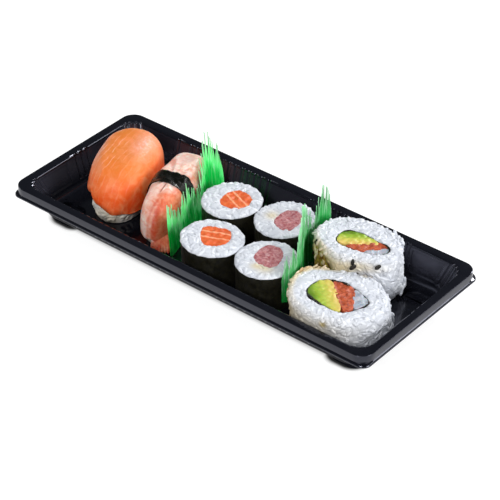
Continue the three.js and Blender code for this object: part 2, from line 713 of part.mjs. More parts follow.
function shrimpNigiri() {
  const shrimp = toSolid(draped(SHRIMP_NIGIRI, SHRIMP, 32, shrimpRelief)).add(shrimpTail());
  const group = new THREE.Group();
  group.add(
    subMesh('shrimp_nigiri_rice', nigiriRice(SHRIMP_NIGIRI, SHRIMP, 37), LOOKS.rice),
    subMesh('shrimp_nigiri_shrimp', fromSolid(shrimp), LOOKS.shrimp),
    subMesh('shrimp_nigiri_band', noriBand(), LOOKS.nori),
  );
  return group;
}

// ---------- dividers ----------

// Upright sheet along a route seen from above, its top edge cut into blades of grass
function divider({ name, route, foot, tips, lean, seed }) {
  const random = seededRandom(seed);
  const curve = new THREE.CatmullRomCurve3(route.map(([x, y]) => new THREE.Vector3(x, y, 0)));
  const columns = BLADES * 2;
  const rings = [];
  for (let i = 0; i <= columns; i++) {
    const position = i / columns;
    const point = curve.getPointAt(position);
    const side = curve.getTangentAt(position).cross(new THREE.Vector3(0, 0, 1));
    side.multiplyScalar(DIVIDER_SHEET / 2);
    const tip = along(tips, position);
    const top = tip - (i % 2 ? random() * BLADE.unevenTip : BLADE.length + random() * BLADE.unevenRoot);
    const bottom = along(foot, position);
    const slant = new THREE.Vector3(along(lean, position) * (top - bottom) / DIVIDER_HEIGHT, 0, 0);
    const corner = (sign, z) => point.clone().addScaledVector(side, sign).setZ(z);
    const upper = [corner(1, top).add(slant), corner(-1, top).add(slant)];
    rings.push([corner(-1, bottom), corner(1, bottom), ...upper]);
  }
  return subMesh(name, loft(rings), LOOKS.divider);
}

// ---------- assembly ----------

function sushiTray() {
  const group = new THREE.Group();
  group.name = 'takeaway_sushi_tray';
  group.add(tray(), salmonNigiri(), shrimpNigiri());
  for (const roll of SMALL_ROLLS) group.add(smallRoll(roll));
  for (const roll of LARGE_ROLLS) group.add(largeRoll(roll));
  for (const sheet of DIVIDERS) group.add(divider(sheet));
  return group;
}

export default sushiTray();
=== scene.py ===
import math

import bmesh
import bpy
import numpy as np
from mathutils import Matrix, Vector, noise
from mathutils.bvhtree import BVHTree


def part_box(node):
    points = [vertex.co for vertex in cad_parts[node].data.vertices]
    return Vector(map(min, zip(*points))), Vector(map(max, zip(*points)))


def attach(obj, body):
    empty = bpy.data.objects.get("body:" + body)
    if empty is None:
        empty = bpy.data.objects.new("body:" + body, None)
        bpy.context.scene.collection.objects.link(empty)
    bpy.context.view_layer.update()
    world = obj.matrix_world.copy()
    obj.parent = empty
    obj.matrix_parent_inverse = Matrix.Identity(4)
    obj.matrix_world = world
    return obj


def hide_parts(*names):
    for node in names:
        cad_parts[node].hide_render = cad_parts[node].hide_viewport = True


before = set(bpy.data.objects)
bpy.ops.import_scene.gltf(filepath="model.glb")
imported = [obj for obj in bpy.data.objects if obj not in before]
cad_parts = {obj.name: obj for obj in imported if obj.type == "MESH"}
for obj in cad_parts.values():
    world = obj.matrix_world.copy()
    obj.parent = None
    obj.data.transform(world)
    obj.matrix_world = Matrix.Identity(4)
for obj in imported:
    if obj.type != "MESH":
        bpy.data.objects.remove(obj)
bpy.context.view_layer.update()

# Lengths are in millimetres in the frame's axes, and turn into metres where a mesh is made.
MM = 0.001
TURN = 2 * math.pi
RIGHT_ANGLE = math.pi / 2

# ---------- driving dimensions ----------

# View of a square picture, with angles in degrees
CAMERA = {"azimuth": 39.352, "elevation": 35.79, "target": (17.033, -12.35, 20.0), "distance": 978.71}
LENS, SENSOR = 148.8, 36.0
# (azimuth, elevation, distance, size, watts) of each soft square light, in degrees and metres
LIGHTS = {
    "overhead": (30, 78, 1.2, 0.7, 1.2), "front": (18, 38, 1.4, 0.3, 11.5), "right": (92, 22, 1.4, 0.6, 14.0),
    "left": (-78, 26, 1.4, 0.6, 4.5), "glint": (140, 38, 1.3, 0.3, 2.2), "spark": (180, 34, 1.3, 0.25, 11.0),
}
SKY = {"Color": (0.82, 0.9, 1.0, 1), "Strength": 0.068}
# Painted contact shadow on the floor under the tray and each foot: middle, half size and corner radius of its
# dark part, and the width it fades over
SHADE = {
    "tray": {"middle": (0, 0), "half": (94.0, 29.9), "radius": 0, "fade": 4.6},
    "foot": {"middle": (86.6, 26.0), "half": (9.6, 7.7), "radius": 7.0, "fade": 3.0},
}

# Tray
HALF_LENGTH, HALF_WIDTH = 109.5, 45.0
RIM_HEIGHT, SKIRT_BOTTOM, LIP_TOP, LIP_BOTTOM = 20.0, 16.2, 15.3, 14.2
CORNER_RADIUS, CORNER_GROWTH = 7.0, 0.45      # at the flange's edge, and how much it grows with the inset
LIP_RADIUS = 4.6
SHEET = 1.0
FLOOR_TOP = 3.5
FLOOR_INSET = 12.4                            # where the flat floor ends
INNER_BOX = (0.1045, 0.04, 0.02)              # half size of the inside, and its height, in metres
WALL = {"foot": (9.1, 6.1), "top": (5.5, 19.3)}                       # (inset, height) of its inside
WALL_LEVELS = [6.5, 6.65, 6.9, 7.3, 7.8, 12.0, 17.2, 17.5, 17.8, 18.6, 19.1]
OUTSIDE_TOP = 17.4                            # where the wall's outside starts to bend into the flange
FLUTE = {"half_width": 1.25, "depth": 0.6, "bottom": 6.5, "top": 21.4, "end": 1.3, "outside": 1.5}
PANEL = {"depth": 0.35, "bottom": 7.0, "top": 17.8, "end": 0.3}
LONG_SIDE = {"flutes": [13.4 + 4.2 * i for i in range(13)] + [72.3], "panel": 75.0, "last": 84.0}
SHORT_SIDE = {"flutes": [0.0, 4.0], "panel": 11.0, "last": 20.0}
CORNERS = ((1, 1), (-1, 1), (-1, -1), (1, -1))                        # signs of X and Y
CORNER_FLUTES = {"turns": [0.3, 0.64, 0.98, 1.28], "half_turn": 0.125}
# Foot, with the (inset, height) levels of its outside and its hollow
FOOT = {
    "middle": (88.5, 26.0), "half": (9.5, 7.5), "radius": 6.0,
    "outside": [(1.1, 0), (0.9, 0), (0.35, 0.25), (0.1, 0.9), (0, 3.0)],
    "hollow": [(0.9, 1.0), (0.35, 1.25), (0.1, 1.9), (0, 4.0)],
}

# Food
FOOD_BASE = 3.85
GRAIN = (2.35, 5.6, 1.9)      # width, length and height of a grain of cooked rice
SEED = (1.9, 3.3, 0.9)        # the same of a sesame seed
TILT = 0.15                   # how much both lean, at random
SNUG = 0.12                   # how far the rice stands off what it holds
FILLED_OUT = 0.42             # how far a filling swells into the clearance round it
SALMON_NIGIRI = {
    "centre": (-72.5, -1.8), "yaw": 0.33, "half_width": 16.3, "half_length": 25.9, "waist": 15.5,
    "top": 34.6, "shoulder": 0.5, "pitch": 0.14, "flare": 0.06,
    "rim": {"height": 13.2, "swing": 5.0, "towards": -2.2}, "thickness": 5.2,
}
SHRIMP_NIGIRI = {
    "centre": (-43.8, 2.5), "yaw": 0.28, "half_width": 11.0, "half_length": 29.8, "waist": 14.5,
    "top": 30.8, "shoulder": 0.48, "pitch": 0.02, "flare": 0.14,
    "rim": {"height": 9.4, "swing": 3.8, "towards": math.pi}, "thickness": 4.0,
}
# Fins of the shrimp's tail: size of one, root of the middle one in the nigiri's axes, and how they fan out
TAIL = {
    "fin": (2.8, 15.0, 2.2), "root": (4.4, -25.6, 9.8), "spread": 2.9,
    "yaw": 0.34, "fan": 0.24, "pitch": 0.58,
}
BAND = {"at": -4.0, "width": 9.0, "thickness": 0.5, "gap": 0.25, "hub": 16.0, "turns": (-1.9, 1.9)}
# Fat lines are (angle, spacing, width), and each patch of rice that the filling has coloured is
# (x, y, radius) from the roll's axis.
SMALL_ROLLS = {
    "hosomaki_salmon_back": {
        "axis": (-12.3, 9.6), "top": 24.5, "filling": "salmon", "seed": 3,
        "fat": (1.19, 4.2, 0.8), "tinges": [],
    },
    "hosomaki_salmon_front": {
        "axis": (0.4, -20.4), "top": 24.0, "filling": "salmon", "seed": 8,
        "fat": (1.98, 4.4, 0.8), "tinges": [],
    },
    "hosomaki_tuna_back": {
        "axis": (17.4, 13.6), "top": 24.0, "filling": "tuna", "seed": 15,
        "fat": None, "tinges": [(-6.3, -1.9, 3.4)],
    },
    "hosomaki_tuna_front": {
        "axis": (31.0, -17.4), "top": 24.0, "filling": "tuna", "seed": 21,
        "fat": None, "tinges": [(4.8, -6.3, 3.8), (0.0, -7.6, 2.6)],
    },
}
# On a large roll's side a black seed is (angle, height), loose rice (angle, height, distance out), a toasted
# stain or a cream tint (angle, height, half width in angle, half height, strength), and a group of pale seeds
# the same with their count. The nori shows at (angle, half width in angle, share), and the avocado ripens
# along an angle, from one distance to another.
LARGE_ROLLS = {
    "uramaki_front": {
        "axis": (73.8, -18.3), "top": 24.8, "seed": 5, "avocado": (0.848, 23.0, 35.5),
        "black": [(1.75, 24.0), (-2.85, 7.0)],
        "loose": [(0.62, 12.0, 1.6), (0.5, 9.0, 0.9)],
        "stain": [(-1.26, 21.5, 0.09, 1.8, 0.7), (-2.75, 13.0, 0.22, 6.0, 0.6), (1.49, 24.0, 0.12, 1.5, 0.6)],
        "cream": [(-2.9, 18.0, 0.6, 9.0, 1.0), (2.7, 24.0, 0.5, 3.0, 0.9), (-1.7, 17.0, 0.9, 7.0, 0.45)],
        "pale": [(2.8, 24.4, 0.35, 1.2, 18), (-2.9, 16.0, 0.35, 8.0, 16), (1.5, 23.0, 0.2, 2.0, 4)],
        "nori": [(-2.15, 0.45, 1.0), (1.95, 0.4, 0.9), (0.1, 0.3, 0.5), (1.1, 0.3, 0.3)],
    },
    "uramaki_back": {
        "axis": (60.2, 15.0), "top": 30.0, "seed": 12, "avocado": (-0.99, 14.5, 24.0),
        "black": [(-1.10, 28.1), (-1.08, 25.7), (-0.45, 27.6), (-2.5, 28.4), (-1.99, 19.9), (-2.62, 21.0)],
        "loose": [(0.8, 27.5, 1.4), (0.74, 24.5, 2.2), (0.34, 9.0, 2.2), (0.7, 28.6, 2.4)],
        "stain": [(-2.3, 22.5, 0.36, 6.5, 1.0), (-1.95, 20.5, 0.2, 4.5, 1.0), (-2.65, 18.0, 0.3, 8.0, 0.9)],
        "cream": [(-1.5, 23.0, 0.5, 4.0, 0.6), (-2.2, 24.0, 0.6, 7.0, 0.9), (-0.9, 26.5, 0.5, 2.5, 0.5)],
        "pale": [(-2.3, 22.0, 0.35, 7.0, 16), (2.6, 28.0, 0.6, 2.0, 7), (-1.4, 22.5, 0.3, 3.0, 4),
                 (-2.2, 19.0, 0.3, 5.0, 7)],
        "nori": [(2.9, 0.4, 0.5), (2.2, 0.4, 0.3), (1.4, 0.5, 0.25), (0.36, 0.25, 1.0)],
    },
}
# Dividers: route of the foot seen from above, and heights of foot and tips and the lean along it
DIVIDERS = {
    "divider_left": {
        "route": [(-22.4, -24.5), (-26, -12), (-29.4, 2), (-31.6, 12), (-34, 21), (-34.4, 31)],
        "foot": [4, 4, 4, 4, 4, 4], "tips": [36, 26, 33, 24, 52, 31],
        "lean": [-4.5, -4.5, -4.5, -5, -4.5, -4.5], "seed": 41,
    },
    "divider_right": {
        "route": [(46.2, -24.5), (47.4, -15), (42.6, -4), (37.6, 4), (34.7, 15), (35, 26.5)],
        "foot": [10, 6, 4, 4, 4, 4], "tips": [32, 37, 42, 46, 51, 42, 31, 51, 40],
        "lean": [-1, -1, -1, -0.5, 0.3, 0.5], "seed": 57,
    },
}
DIVIDER_HEIGHT = 46.0         # over which the lean is reached
DIVIDER_SHEET = 0.2
PLEAT = 0.16                  # how far the fine pleats stand out
BLADES, BLADE_STEPS, BLADE_LEVELS = 44, 5, 16
TUFT = 4                      # blades that lean together

# ---------- materials ----------


def linear(color):
    """Linear colour of a grey from 0 to 1, or of a screen colour with red, green and blue up to 255."""
    if not isinstance(color, tuple):
        return (color, color, color, 1)
    shares = [channel / 255 for channel in color]
    return (*(s / 12.92 if s <= 0.04045 else ((s + 0.055) / 1.055) ** 2.4 for s in shares), 1)


class Finish:
    """A material with one principled shader, and short ways to add its nodes."""

    def __init__(self, name, **constants):
        self.material = bpy.data.materials.new(name)
        self.material.use_nodes = True
        self.nodes, self.links = self.material.node_tree.nodes, self.material.node_tree.links
        self.shader = self.nodes["Principled BSDF"]
        for socket, value in constants.items():
            self.shader.inputs[socket.replace("_", " ").title().replace("Ior", "IOR")].default_value = value

    def node(self, kind, inputs=None, **settings):
        made = self.nodes.new(kind)
        for key, value in settings.items():
            setattr(made, key, value)
        for socket, value in (inputs or {}).items():
            if isinstance(value, bpy.types.NodeSocket):
                self.links.new(value, made.inputs[socket])
            else:
                made.inputs[socket].default_value = value
        return made

    def set(self, socket, value):
        self.links.new(value, self.shader.inputs[socket])

    def attribute(self, name):
        return self.node("ShaderNodeAttribute", attribute_name=name).outputs["Fac"]

    def place(self):
        return self.node("ShaderNodeTexCoord").outputs["Object"]

    def noise(self, size, detail=3.0, distortion=0.0, stretch=None):
        """Noise with features of about a size in millimetres, stretched along each axis."""
        place = self.vector("MULTIPLY", self.place(), stretch) if stretch else self.place()
        inputs = {"Vector": place, "Scale": 1 / (size * MM), "Detail": detail, "Distortion": distortion}
        return self.node("ShaderNodeTexNoise", inputs).outputs["Fac"]

    def math(self, operation, first, second=0.0):
        return self.node("ShaderNodeMath", {0: first, 1: second}, operation=operation).outputs[0]

    def plus(self, first, second):
        return self.math("ADD", first, second)

    def times(self, first, second):
        return self.math("MULTIPLY", first, second)

    def vector(self, operation, first, second=(0, 0, 0), output="Vector"):
        return self.node("ShaderNodeVectorMath", {0: first, 1: second}, operation=operation).outputs[output]

    def parts(self, vector):
        return self.node("ShaderNodeSeparateXYZ", {0: vector}).outputs

    def ramp(self, value, stops):
        """Colour or grey along a value, from (position, colour) stops."""
        made = self.node("ShaderNodeValToRGB", {"Fac": value})
        elements = made.color_ramp.elements
        while len(elements) < len(stops):
            elements.new(0.5)
        for element, (position, color) in zip(elements, stops):
            element.position = position
            element.color = linear(color)
        return made.outputs["Color"]

    def mix(self, share, first, second):
        ends = [end if isinstance(end, bpy.types.NodeSocket) else linear(end) for end in (first, second)]
        return self.node("ShaderNodeMix", {0: share, 6: ends[0], 7: ends[1]}, data_type="RGBA").outputs[2]

    def done(self, color, relief, depth):
        """The material with its colour, and bumps of a depth in millimetres where a relief is high."""
        self.set("Base Color", color)
        bump = self.node("ShaderNodeBump", {"Height": relief, "Distance": depth * MM})
        self.set("Normal", bump.outputs["Normal"])
        return self.material


def moist(name, roughness, weight, depth, **constants):
    """Finish that light enters a little, to a depth in millimetres."""
    return Finish(name, roughness=roughness, ior=1.4, subsurface_weight=weight, subsurface_scale=depth * MM,
                  **constants)


def floor_finish():
    """White glowing paper with a painted contact shadow: its glow and colour are darkened close to the tray
    and its feet.
    """
    finish = Finish("floor", roughness=1.0, specular_ior_level=0.0, emission_color=(1, 1, 1, 1))

    def faded(middle, half, radius, fade):
        """Distance from the dark part of the painted shadow, as a share of the width it fades over."""
        off = finish.vector("ABSOLUTE", finish.place())
        off = finish.vector("SUBTRACT", off, (middle[0] * MM, middle[1] * MM, 0))
        inner = [(size - radius) * MM for size in half]
        off = finish.vector("SUBTRACT", finish.vector("ABSOLUTE", off), (*inner, 0))
        distance = finish.vector("LENGTH", finish.vector("MAXIMUM", off), output="Value")
        return finish.math("DIVIDE", finish.math("SUBTRACT", distance, radius * MM), fade * MM)

    # Painted contact shadow: near the tray and its feet the glow drops and the colour darkens
    near = finish.math("MINIMUM", faded(**SHADE["tray"]), faded(**SHADE["foot"]))
    finish.set("Emission Strength", finish.ramp(near, [(0, 0.0), (0.2, 0.1), (0.5, 0.46), (1, 0.86)]))
    paper = finish.ramp(finish.noise(400), [(0, 0.28), (1, 0.31)])
    finish.set("Base Color", finish.mix(finish.ramp(near, [(0, 0.0), (0.8, 1.0)]), 0.04, paper))
    return finish.material


def tray_finish():
    """Black plastic with a painted sheen that makes the inside walls a little lighter, and dull on the feet
    and low on the outside.
    """
    finish = Finish("tray", ior=1.56, specular_tint=(0.8, 0.82, 1.0, 1.0))
    black = finish.ramp(finish.noise(30), [(0, (12, 13, 19)), (1, (18, 19, 25))])
    aside = finish.parts(finish.vector("ABSOLUTE", finish.vector("DIVIDE", finish.place(), INNER_BOX)))
    within = finish.ramp(finish.math("MAXIMUM", aside["X"], aside["Y"]), [(0.998, 1.0), (1.0, 0.0)])
    wall_sheen_band = finish.ramp(aside["Z"], [(0.35, 0.0), (0.6, 1.0), (0.93, 1.0), (0.96, 0.0)])
    low = finish.ramp(aside["Z"], [(0.3, 1.0), (0.45, 0.0)])
    upright = finish.parts(finish.node("ShaderNodeNewGeometry").outputs["Normal"])["Z"]
    dull = finish.times(low, finish.math("LESS_THAN", upright, 0.03))
    finish.set("Specular IOR Level", finish.ramp(dull, [(0, 0.5), (1, 0.014)]))
    finish.set("Roughness", finish.ramp(finish.noise(6), [(0.3, 0.09), (0.7, 0.19)]))
    # Painted sheen: the inside walls, between the floor and the rim, are painted lighter than the black
    color = finish.mix(finish.times(within, wall_sheen_band), black, (37, 37, 45))
    return finish.done(color, finish.noise(9, 2.0), 0.12)


def rice_finish():
    finish = Finish("rice", roughness=0.55, specular_ior_level=0.25)
    white = finish.ramp(finish.attribute("shade"), [(0, (188, 192, 201)), (1, (220, 223, 229))])
    cream = finish.mix(finish.attribute("cream"), white, (206, 192, 160))
    olive = finish.ramp(finish.noise(3.5), [(0.38, (92, 58, 20)), (0.56, (152, 130, 54))])
    return finish.done(finish.mix(finish.attribute("stain"), cream, olive), finish.noise(1.1), 0.02)


def nori_finish(name, dark, light, gloss):
    finish = Finish(name, ior=1.45)
    finish.set("Roughness", finish.ramp(finish.noise(3), [(0.35, gloss), (0.65, gloss + 0.27)]))
    color = finish.ramp(finish.noise(1.6, 5.0, 0.6), [(0.3, dark), (0.7, light)])
    return finish.done(color, finish.noise(0.8, 5.0, 0.4), 0.18)


def salmon_slice_finish():
    finish = moist("salmon_slice", 0.48, 0.25, 2, specular_ior_level=0.35)
    across = finish.plus(finish.attribute("grain"), finish.times(finish.noise(8), 1.3))
    lines = finish.math("SINE", finish.times(across, 6.3))
    broken = finish.times(finish.ramp(finish.noise(5), [(0.4, 0.0), (0.6, 1.0)]), finish.attribute("lined"))
    fat = finish.times(finish.ramp(lines, [(0.7, 0.0), (1.0, 1.0)]), broken)
    # Painted light and shade: the flesh is painted darker low on the slice and paler towards its top
    flesh = finish.ramp(finish.attribute("height"), [
        (0.0, (198, 80, 36)), (0.35, (228, 84, 26)), (0.65, (230, 98, 34)), (0.85, (228, 118, 50)),
        (1.0, (220, 124, 52)),
    ])
    cloud = finish.ramp(finish.noise(6, 6.0, 0.9), [(0.42, 0.0), (0.66, 0.6)])
    flesh = finish.mix(cloud, flesh, (236, 142, 90))
    speck = finish.ramp(finish.noise(1.6, 4.0, 0.5), [(0.45, 0.0), (0.7, 0.6)])
    # Painted highlight: the pale patch on the right shoulder; the patch along the left edge is a paler tint
    pale = finish.times(finish.attribute("pale"), finish.plus(speck, 0.5))
    flesh = finish.mix(pale, flesh, (234, 178, 164))
    relief = finish.plus(finish.noise(1.2), finish.times(lines, 0.12))
    return finish.done(finish.mix(fat, flesh, (240, 182, 150)), relief, 0.14)


def shrimp_finish():
    finish = moist("shrimp", 0.4, 0.3, 2)
    mottle = finish.noise(3.0, 5.0, 0.9)
    pale = finish.ramp(mottle, [(0.3, (226, 158, 136)), (0.5, (230, 192, 178)), (0.7, (238, 220, 210))])
    orange = finish.ramp(mottle, [(0.3, (206, 92, 52)), (0.7, (226, 142, 108))])
    wash = finish.plus(finish.attribute("stain"), finish.times(finish.noise(5, 4.0), 0.9))
    flesh = finish.mix(finish.ramp(wash, [(0.55, 0.0), (1.05, 1.0)]), pale, orange)
    streaked = finish.times(finish.attribute("red"), finish.plus(finish.noise(1.6, 5.0), 0.4))
    flesh = finish.mix(finish.ramp(streaked, [(0.2, 0.0), (0.95, 0.9)]), flesh, (198, 62, 32))
    # Painted shade: the flesh is darker along the crease's groove
    flesh = finish.mix(finish.attribute("crease"), flesh, (150, 62, 40))
    return finish.done(flesh, finish.noise(1.3, 4.0), 0.22)


def fish_finish(name, flesh, dark, fat, size):
    """Cut face of fish with its fat lines along the value named fat."""
    finish = moist(name, 0.46, 0.2, 1.5)
    body = finish.ramp(finish.noise(size, 4.0, 0.8), [(0.3, dark), (0.62, flesh)])
    warp = finish.plus(finish.attribute("fat"), finish.times(finish.noise(4), 0.25))
    color = finish.mix(finish.ramp(warp, [(0.62, 0.0), (0.86, 1.0)]), body, fat)
    return finish.done(color, finish.noise(size * 0.4, 4.0), 0.2)


def avocado_finish():
    finish = moist("avocado", 0.42, 0.15, 1.5)
    ripe = finish.plus(finish.attribute("ripe"), finish.times(finish.noise(5), 0.3))
    stops = [(0.12, (84, 120, 26)), (0.4, (142, 172, 52)), (0.75, (190, 190, 84)), (1.05, (212, 184, 100))]
    return finish.done(finish.ramp(ripe, stops), finish.noise(1.1), 0.12)


def surimi_finish():
    finish = moist("surimi", 0.4, 0.3, 1.5)
    color = finish.ramp(finish.noise(2.4, 4.0), [(0.3, (140, 147, 158)), (0.7, (182, 188, 197))])
    return finish.done(color, finish.noise(1.0, 4.0), 0.25)


def sesame_finish(name, dark, light):
    finish = Finish(name, roughness=0.45, ior=1.45)
    color = finish.ramp(finish.attribute("shade"), [(0, dark), (1, light)])
    return finish.done(color, finish.noise(0.7), 0.05)


def divider_finish(name, painted_light_level):
    """Green film, deep below the slits and frosted and light above them, with pale streaks down the blades;
    its greens are scaled by a painted light level.
    """
    finish = Finish(name, roughness=0.34, ior=1.45)
    greens = [(0.0, (0, 172, 58)), (0.42, (4, 196, 74)), (0.52, (80, 236, 122)), (0.75, (124, 244, 148))]
    # Painted light and shade: the lower greens are scaled by the divider's painted light level
    stops = [(share, tuple(min(255, channel * painted_light_level) for channel in color)) for share, color in greens]
    height = finish.attribute("height")
    body = finish.ramp(height, stops + [(1.0, (170, 248, 188))])
    pleats = finish.noise(0.7, stretch=(1, 1, 0.05))
    streaks = finish.ramp(pleats, [(0.5, 0.0), (0.72, 0.75)])
    frost = finish.times(streaks, finish.ramp(height, [(0.3, 0.15), (0.55, 1.0)]))
    finish.set("Alpha", finish.ramp(height, [(0.35, 0.99), (0.6, 0.93), (1.0, 0.8)]))
    return finish.done(finish.mix(frost, body, (214, 250, 224)), pleats, 0.3)


LOOKS = {                     # (slot of the record, material)
    "tray": ("tray_plastic", tray_finish()),
    "rice": ("rice", rice_finish()),
    "nori": ("nori", nori_finish("nori", (14, 13, 11), (34, 32, 20), 0.32)),
    "nori_band": ("nori", nori_finish("nori_band", (4, 5, 3), (16, 18, 10), 0.12)),
    "salmon_slice": ("salmon", salmon_slice_finish()),
    "shrimp": ("shrimp", shrimp_finish()),
    "avocado": ("avocado", avocado_finish()),
    "salmon": ("salmon", fish_finish("salmon_cut", (222, 106, 56), (204, 86, 40), (238, 162, 124), 5.0)),
    "uramaki_salmon": (
        "salmon", fish_finish("salmon_dark", (192, 92, 56), (132, 50, 30), (220, 140, 110), 1.4),
    ),
    "tuna": ("tuna", fish_finish("tuna_cut", (188, 136, 138), (146, 60, 68), (214, 180, 180), 1.5)),
    "surimi": ("surimi", surimi_finish()),
    # Painted light and shade: the left divider is painted lighter and the right one darker, as copies of one
    # green film
    "divider_left": ("divider_plastic", divider_finish("divider_left", 1.05)),
    "divider_right": ("divider_plastic", divider_finish("divider_right", 0.78)),
    "sesame_golden": ("rice", sesame_finish("sesame_golden", (180, 154, 112), (226, 214, 190))),
    "sesame_black": ("rice", sesame_finish("sesame_black", (16, 14, 12), (40, 34, 28))),
}

# ---------- camera, light and floor ----------


def add_looking(name, data, azimuth, elevation, distance, target=(0, 0, 0), scale=1):
    """Camera or light at a distance from a target, in a direction in degrees, that looks at the target."""
    a, e = math.radians(azimuth), math.radians(elevation)
    back = Vector((math.sin(a) * math.cos(e), -math.cos(a) * math.cos(e), math.sin(e)))
    made = bpy.data.objects.new(name, data)
    made.location = (Vector(target) + back * distance) * scale
    made.rotation_mode = "QUATERNION"
    made.rotation_quaternion = back.to_track_quat("Z", "Y")
    bpy.context.scene.collection.objects.link(made)
    return made


def add_studio():
    data = bpy.data.cameras.new("camera")
    data.lens, data.sensor_width = LENS, SENSOR
    bpy.context.scene.camera = add_looking("camera", data, **CAMERA, scale=MM)
    world = bpy.data.worlds.new("studio")
    world.use_nodes = True
    for socket, value in SKY.items():
        world.node_tree.nodes["Background"].inputs[socket].default_value = value
    bpy.context.scene.world = world
    for name, (azimuth, elevation, distance, size, power) in LIGHTS.items():
        data = bpy.data.lights.new(name, "AREA")
        data.size, data.energy = size, power
        add_looking(name, data, azimuth, elevation, distance)
    bpy.context.scene.view_settings.view_transform = "Standard"
    bpy.ops.mesh.primitive_plane_add(size=8)
    floor = bpy.context.object
    floor.name = "floor"
    floor.data.materials.append(floor_finish())


# ---------- meshes ----------


def loft(rings, hoop=False):
    """Points and faces through rings of equal count, capped at both ends or closed on itself like a hoop."""
    rings = np.asarray(rings, float)
    count = rings.shape[1]
    faces = []
    for strip in range(len(rings) if hoop else len(rings) - 1):
        here, there = strip * count, ((strip + 1) % len(rings)) * count
        for i in range(count):
            j = (i + 1) % count
            faces.append((here + i, here + j, there + j, there + i))
    if not hoop:
        last = (len(rings) - 1) * count
        faces.append(tuple(range(count - 1, -1, -1)))
        faces.append(tuple(range(last, last + count)))
    return rings.reshape(-1, 3), faces


def joined(shapes):
    """One (points, faces) of several."""
    points, faces, start = [], [], 0
    for shape_points, shape_faces in shapes:
        points.append(shape_points)
        faces.extend(tuple(i + start for i in face) for face in shape_faces)
        start += len(shape_points)
    return np.concatenate(points), faces


def make_mesh(name, points, faces, values=None):
    """Mesh in metres with its faces turned out, and with one number a point for each named value."""
    mesh = bpy.data.meshes.new(name)
    mesh.from_pydata((np.asarray(points) * MM).tolist(), [], faces)
    for key, numbers in (values or {}).items():
        attribute = mesh.attributes.new(key, "FLOAT", "POINT")
        attribute.data.foreach_set("value", np.asarray(numbers, np.float32))
    form = bmesh.new()
    form.from_mesh(mesh)
    bmesh.ops.recalc_face_normals(form, faces=form.faces)
    form.to_mesh(mesh)
    form.free()
    return mesh


def add_piece(mesh, look, node=None, sharp=40):
    """Smooth piece with its mesh's name, in place of a CAD node if it has one."""
    slot, material = LOOKS[look]
    mesh.shade_smooth()
    mesh.set_sharp_from_angle(angle=math.radians(sharp))
    mesh.materials.append(material)
    piece = bpy.data.objects.new(mesh.name, mesh)
    bpy.context.scene.collection.objects.link(piece)
    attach(piece, "root")
    if node:
        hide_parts(node)


def cad_shape(node):
    """Points in millimetres and triangles of a CAD node, with equal points merged."""
    form = bmesh.new()
    form.from_mesh(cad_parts[node].data)
    bmesh.ops.remove_doubles(form, verts=form.verts, dist=1e-6)
    bmesh.ops.triangulate(form, faces=form.faces)
    points = np.array([v.co[:] for v in form.verts]) / MM
    triangles = np.array([[v.index for v in face.verts] for face in form.faces])
    form.free()
    return points, triangles


def cad_tree(node):
    points, triangles = cad_shape(node)
    return BVHTree.FromPolygons(points.tolist(), triangles.tolist())


def cad_form(node):
    """Lowest and highest Z of a CAD node, its middle seen from above, and its tree."""
    low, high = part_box(node)
    flat = cad_shape(node)[0][:, :2]
    return low.z / MM, high.z / MM, (flat.min(0) + flat.max(0)) / 2, cad_tree(node)


def unit(vectors):
    return vectors / np.linalg.norm(vectors, axis=-1, keepdims=True)


def double_areas(points, triangles):
    """Normal of each triangle, as long as twice its area."""
    a, b, c = (points[triangles[:, i]] for i in range(3))
    return np.cross(b - a, c - a)


def vertex_normals(points, triangles):
    total, normals = np.zeros_like(points), double_areas(points, triangles)
    for corner in range(3):
        np.add.at(total, triangles[:, corner], normals)
    return total / np.maximum(np.linalg.norm(total, axis=1, keepdims=True), 1e-9)


def section(tree, axis, z, angles):
    """Outer radius of a closed outline round an axis, at a height and at each angle."""
    far = 80.0
    radii = []
    for angle in angles:
        out = Vector((math.cos(angle), math.sin(angle), 0))
        start = Vector((axis[0], axis[1], z)) + out * far
        hits = [tree.ray_cast(start + Vector((0, 0, drop)), -out)[3] for drop in (0, -0.03, 0.03)]
        radii.append(max([far - hit for hit in hits if hit is not None], default=np.nan))
    radii = np.array(radii)
    found = np.flatnonzero(~np.isnan(radii))
    return np.interp(np.arange(len(radii)), found, radii[found], period=len(radii))


def softened(values, width, ends="wrap"):
    """Values round a loop, or along a line whose ends are edges, blurred over a number of neighbours."""
    kernel = np.hanning(2 * width + 3)[1:-1]
    return np.convolve(np.pad(values, width, ends), kernel / kernel.sum(), "valid")


def waves(points, scale, seed=0):
    """Smooth noise from about -1 to 1 at each point, with features of about a given size."""
    shift = Vector((seed * 7.3, seed * 3.1, seed * 5.7))
    return np.array([noise.noise(Vector(p) / scale + shift) for p in np.asarray(points)]) * 1.6


def ease(value, low, high):
    t = np.clip((value - low) / (high - low), 0, 1)
    return t * t * (3 - 2 * t)


def bell(*distances):
    """1 where all distances are 0, and little beyond a distance of 1."""
    return np.exp(-sum(distance ** 2 for distance in distances))


def apart(angles, angle):
    return (angles - angle + math.pi) % TURN - math.pi


def spokes(count):
    """Even angles round a circle, and the direction of each."""
    angles = np.linspace(0, TURN, count, endpoint=False)
    return angles, np.column_stack([np.cos(angles), np.sin(angles)])


def at_height(flat, z):
    return np.column_stack([flat, np.broadcast_to(z, len(flat))])


# ---------- tray ----------


def across_flutes(samples, centres, half_width, digits):
    """Adds places across each flute to the samples, with the share of its depth that it has there."""
    for centre in centres:
        for step in np.linspace(-1, 1, 9):
            samples[round(centre + step * half_width, digits)] = math.sqrt(max(0, 1 - step * step))
    return samples


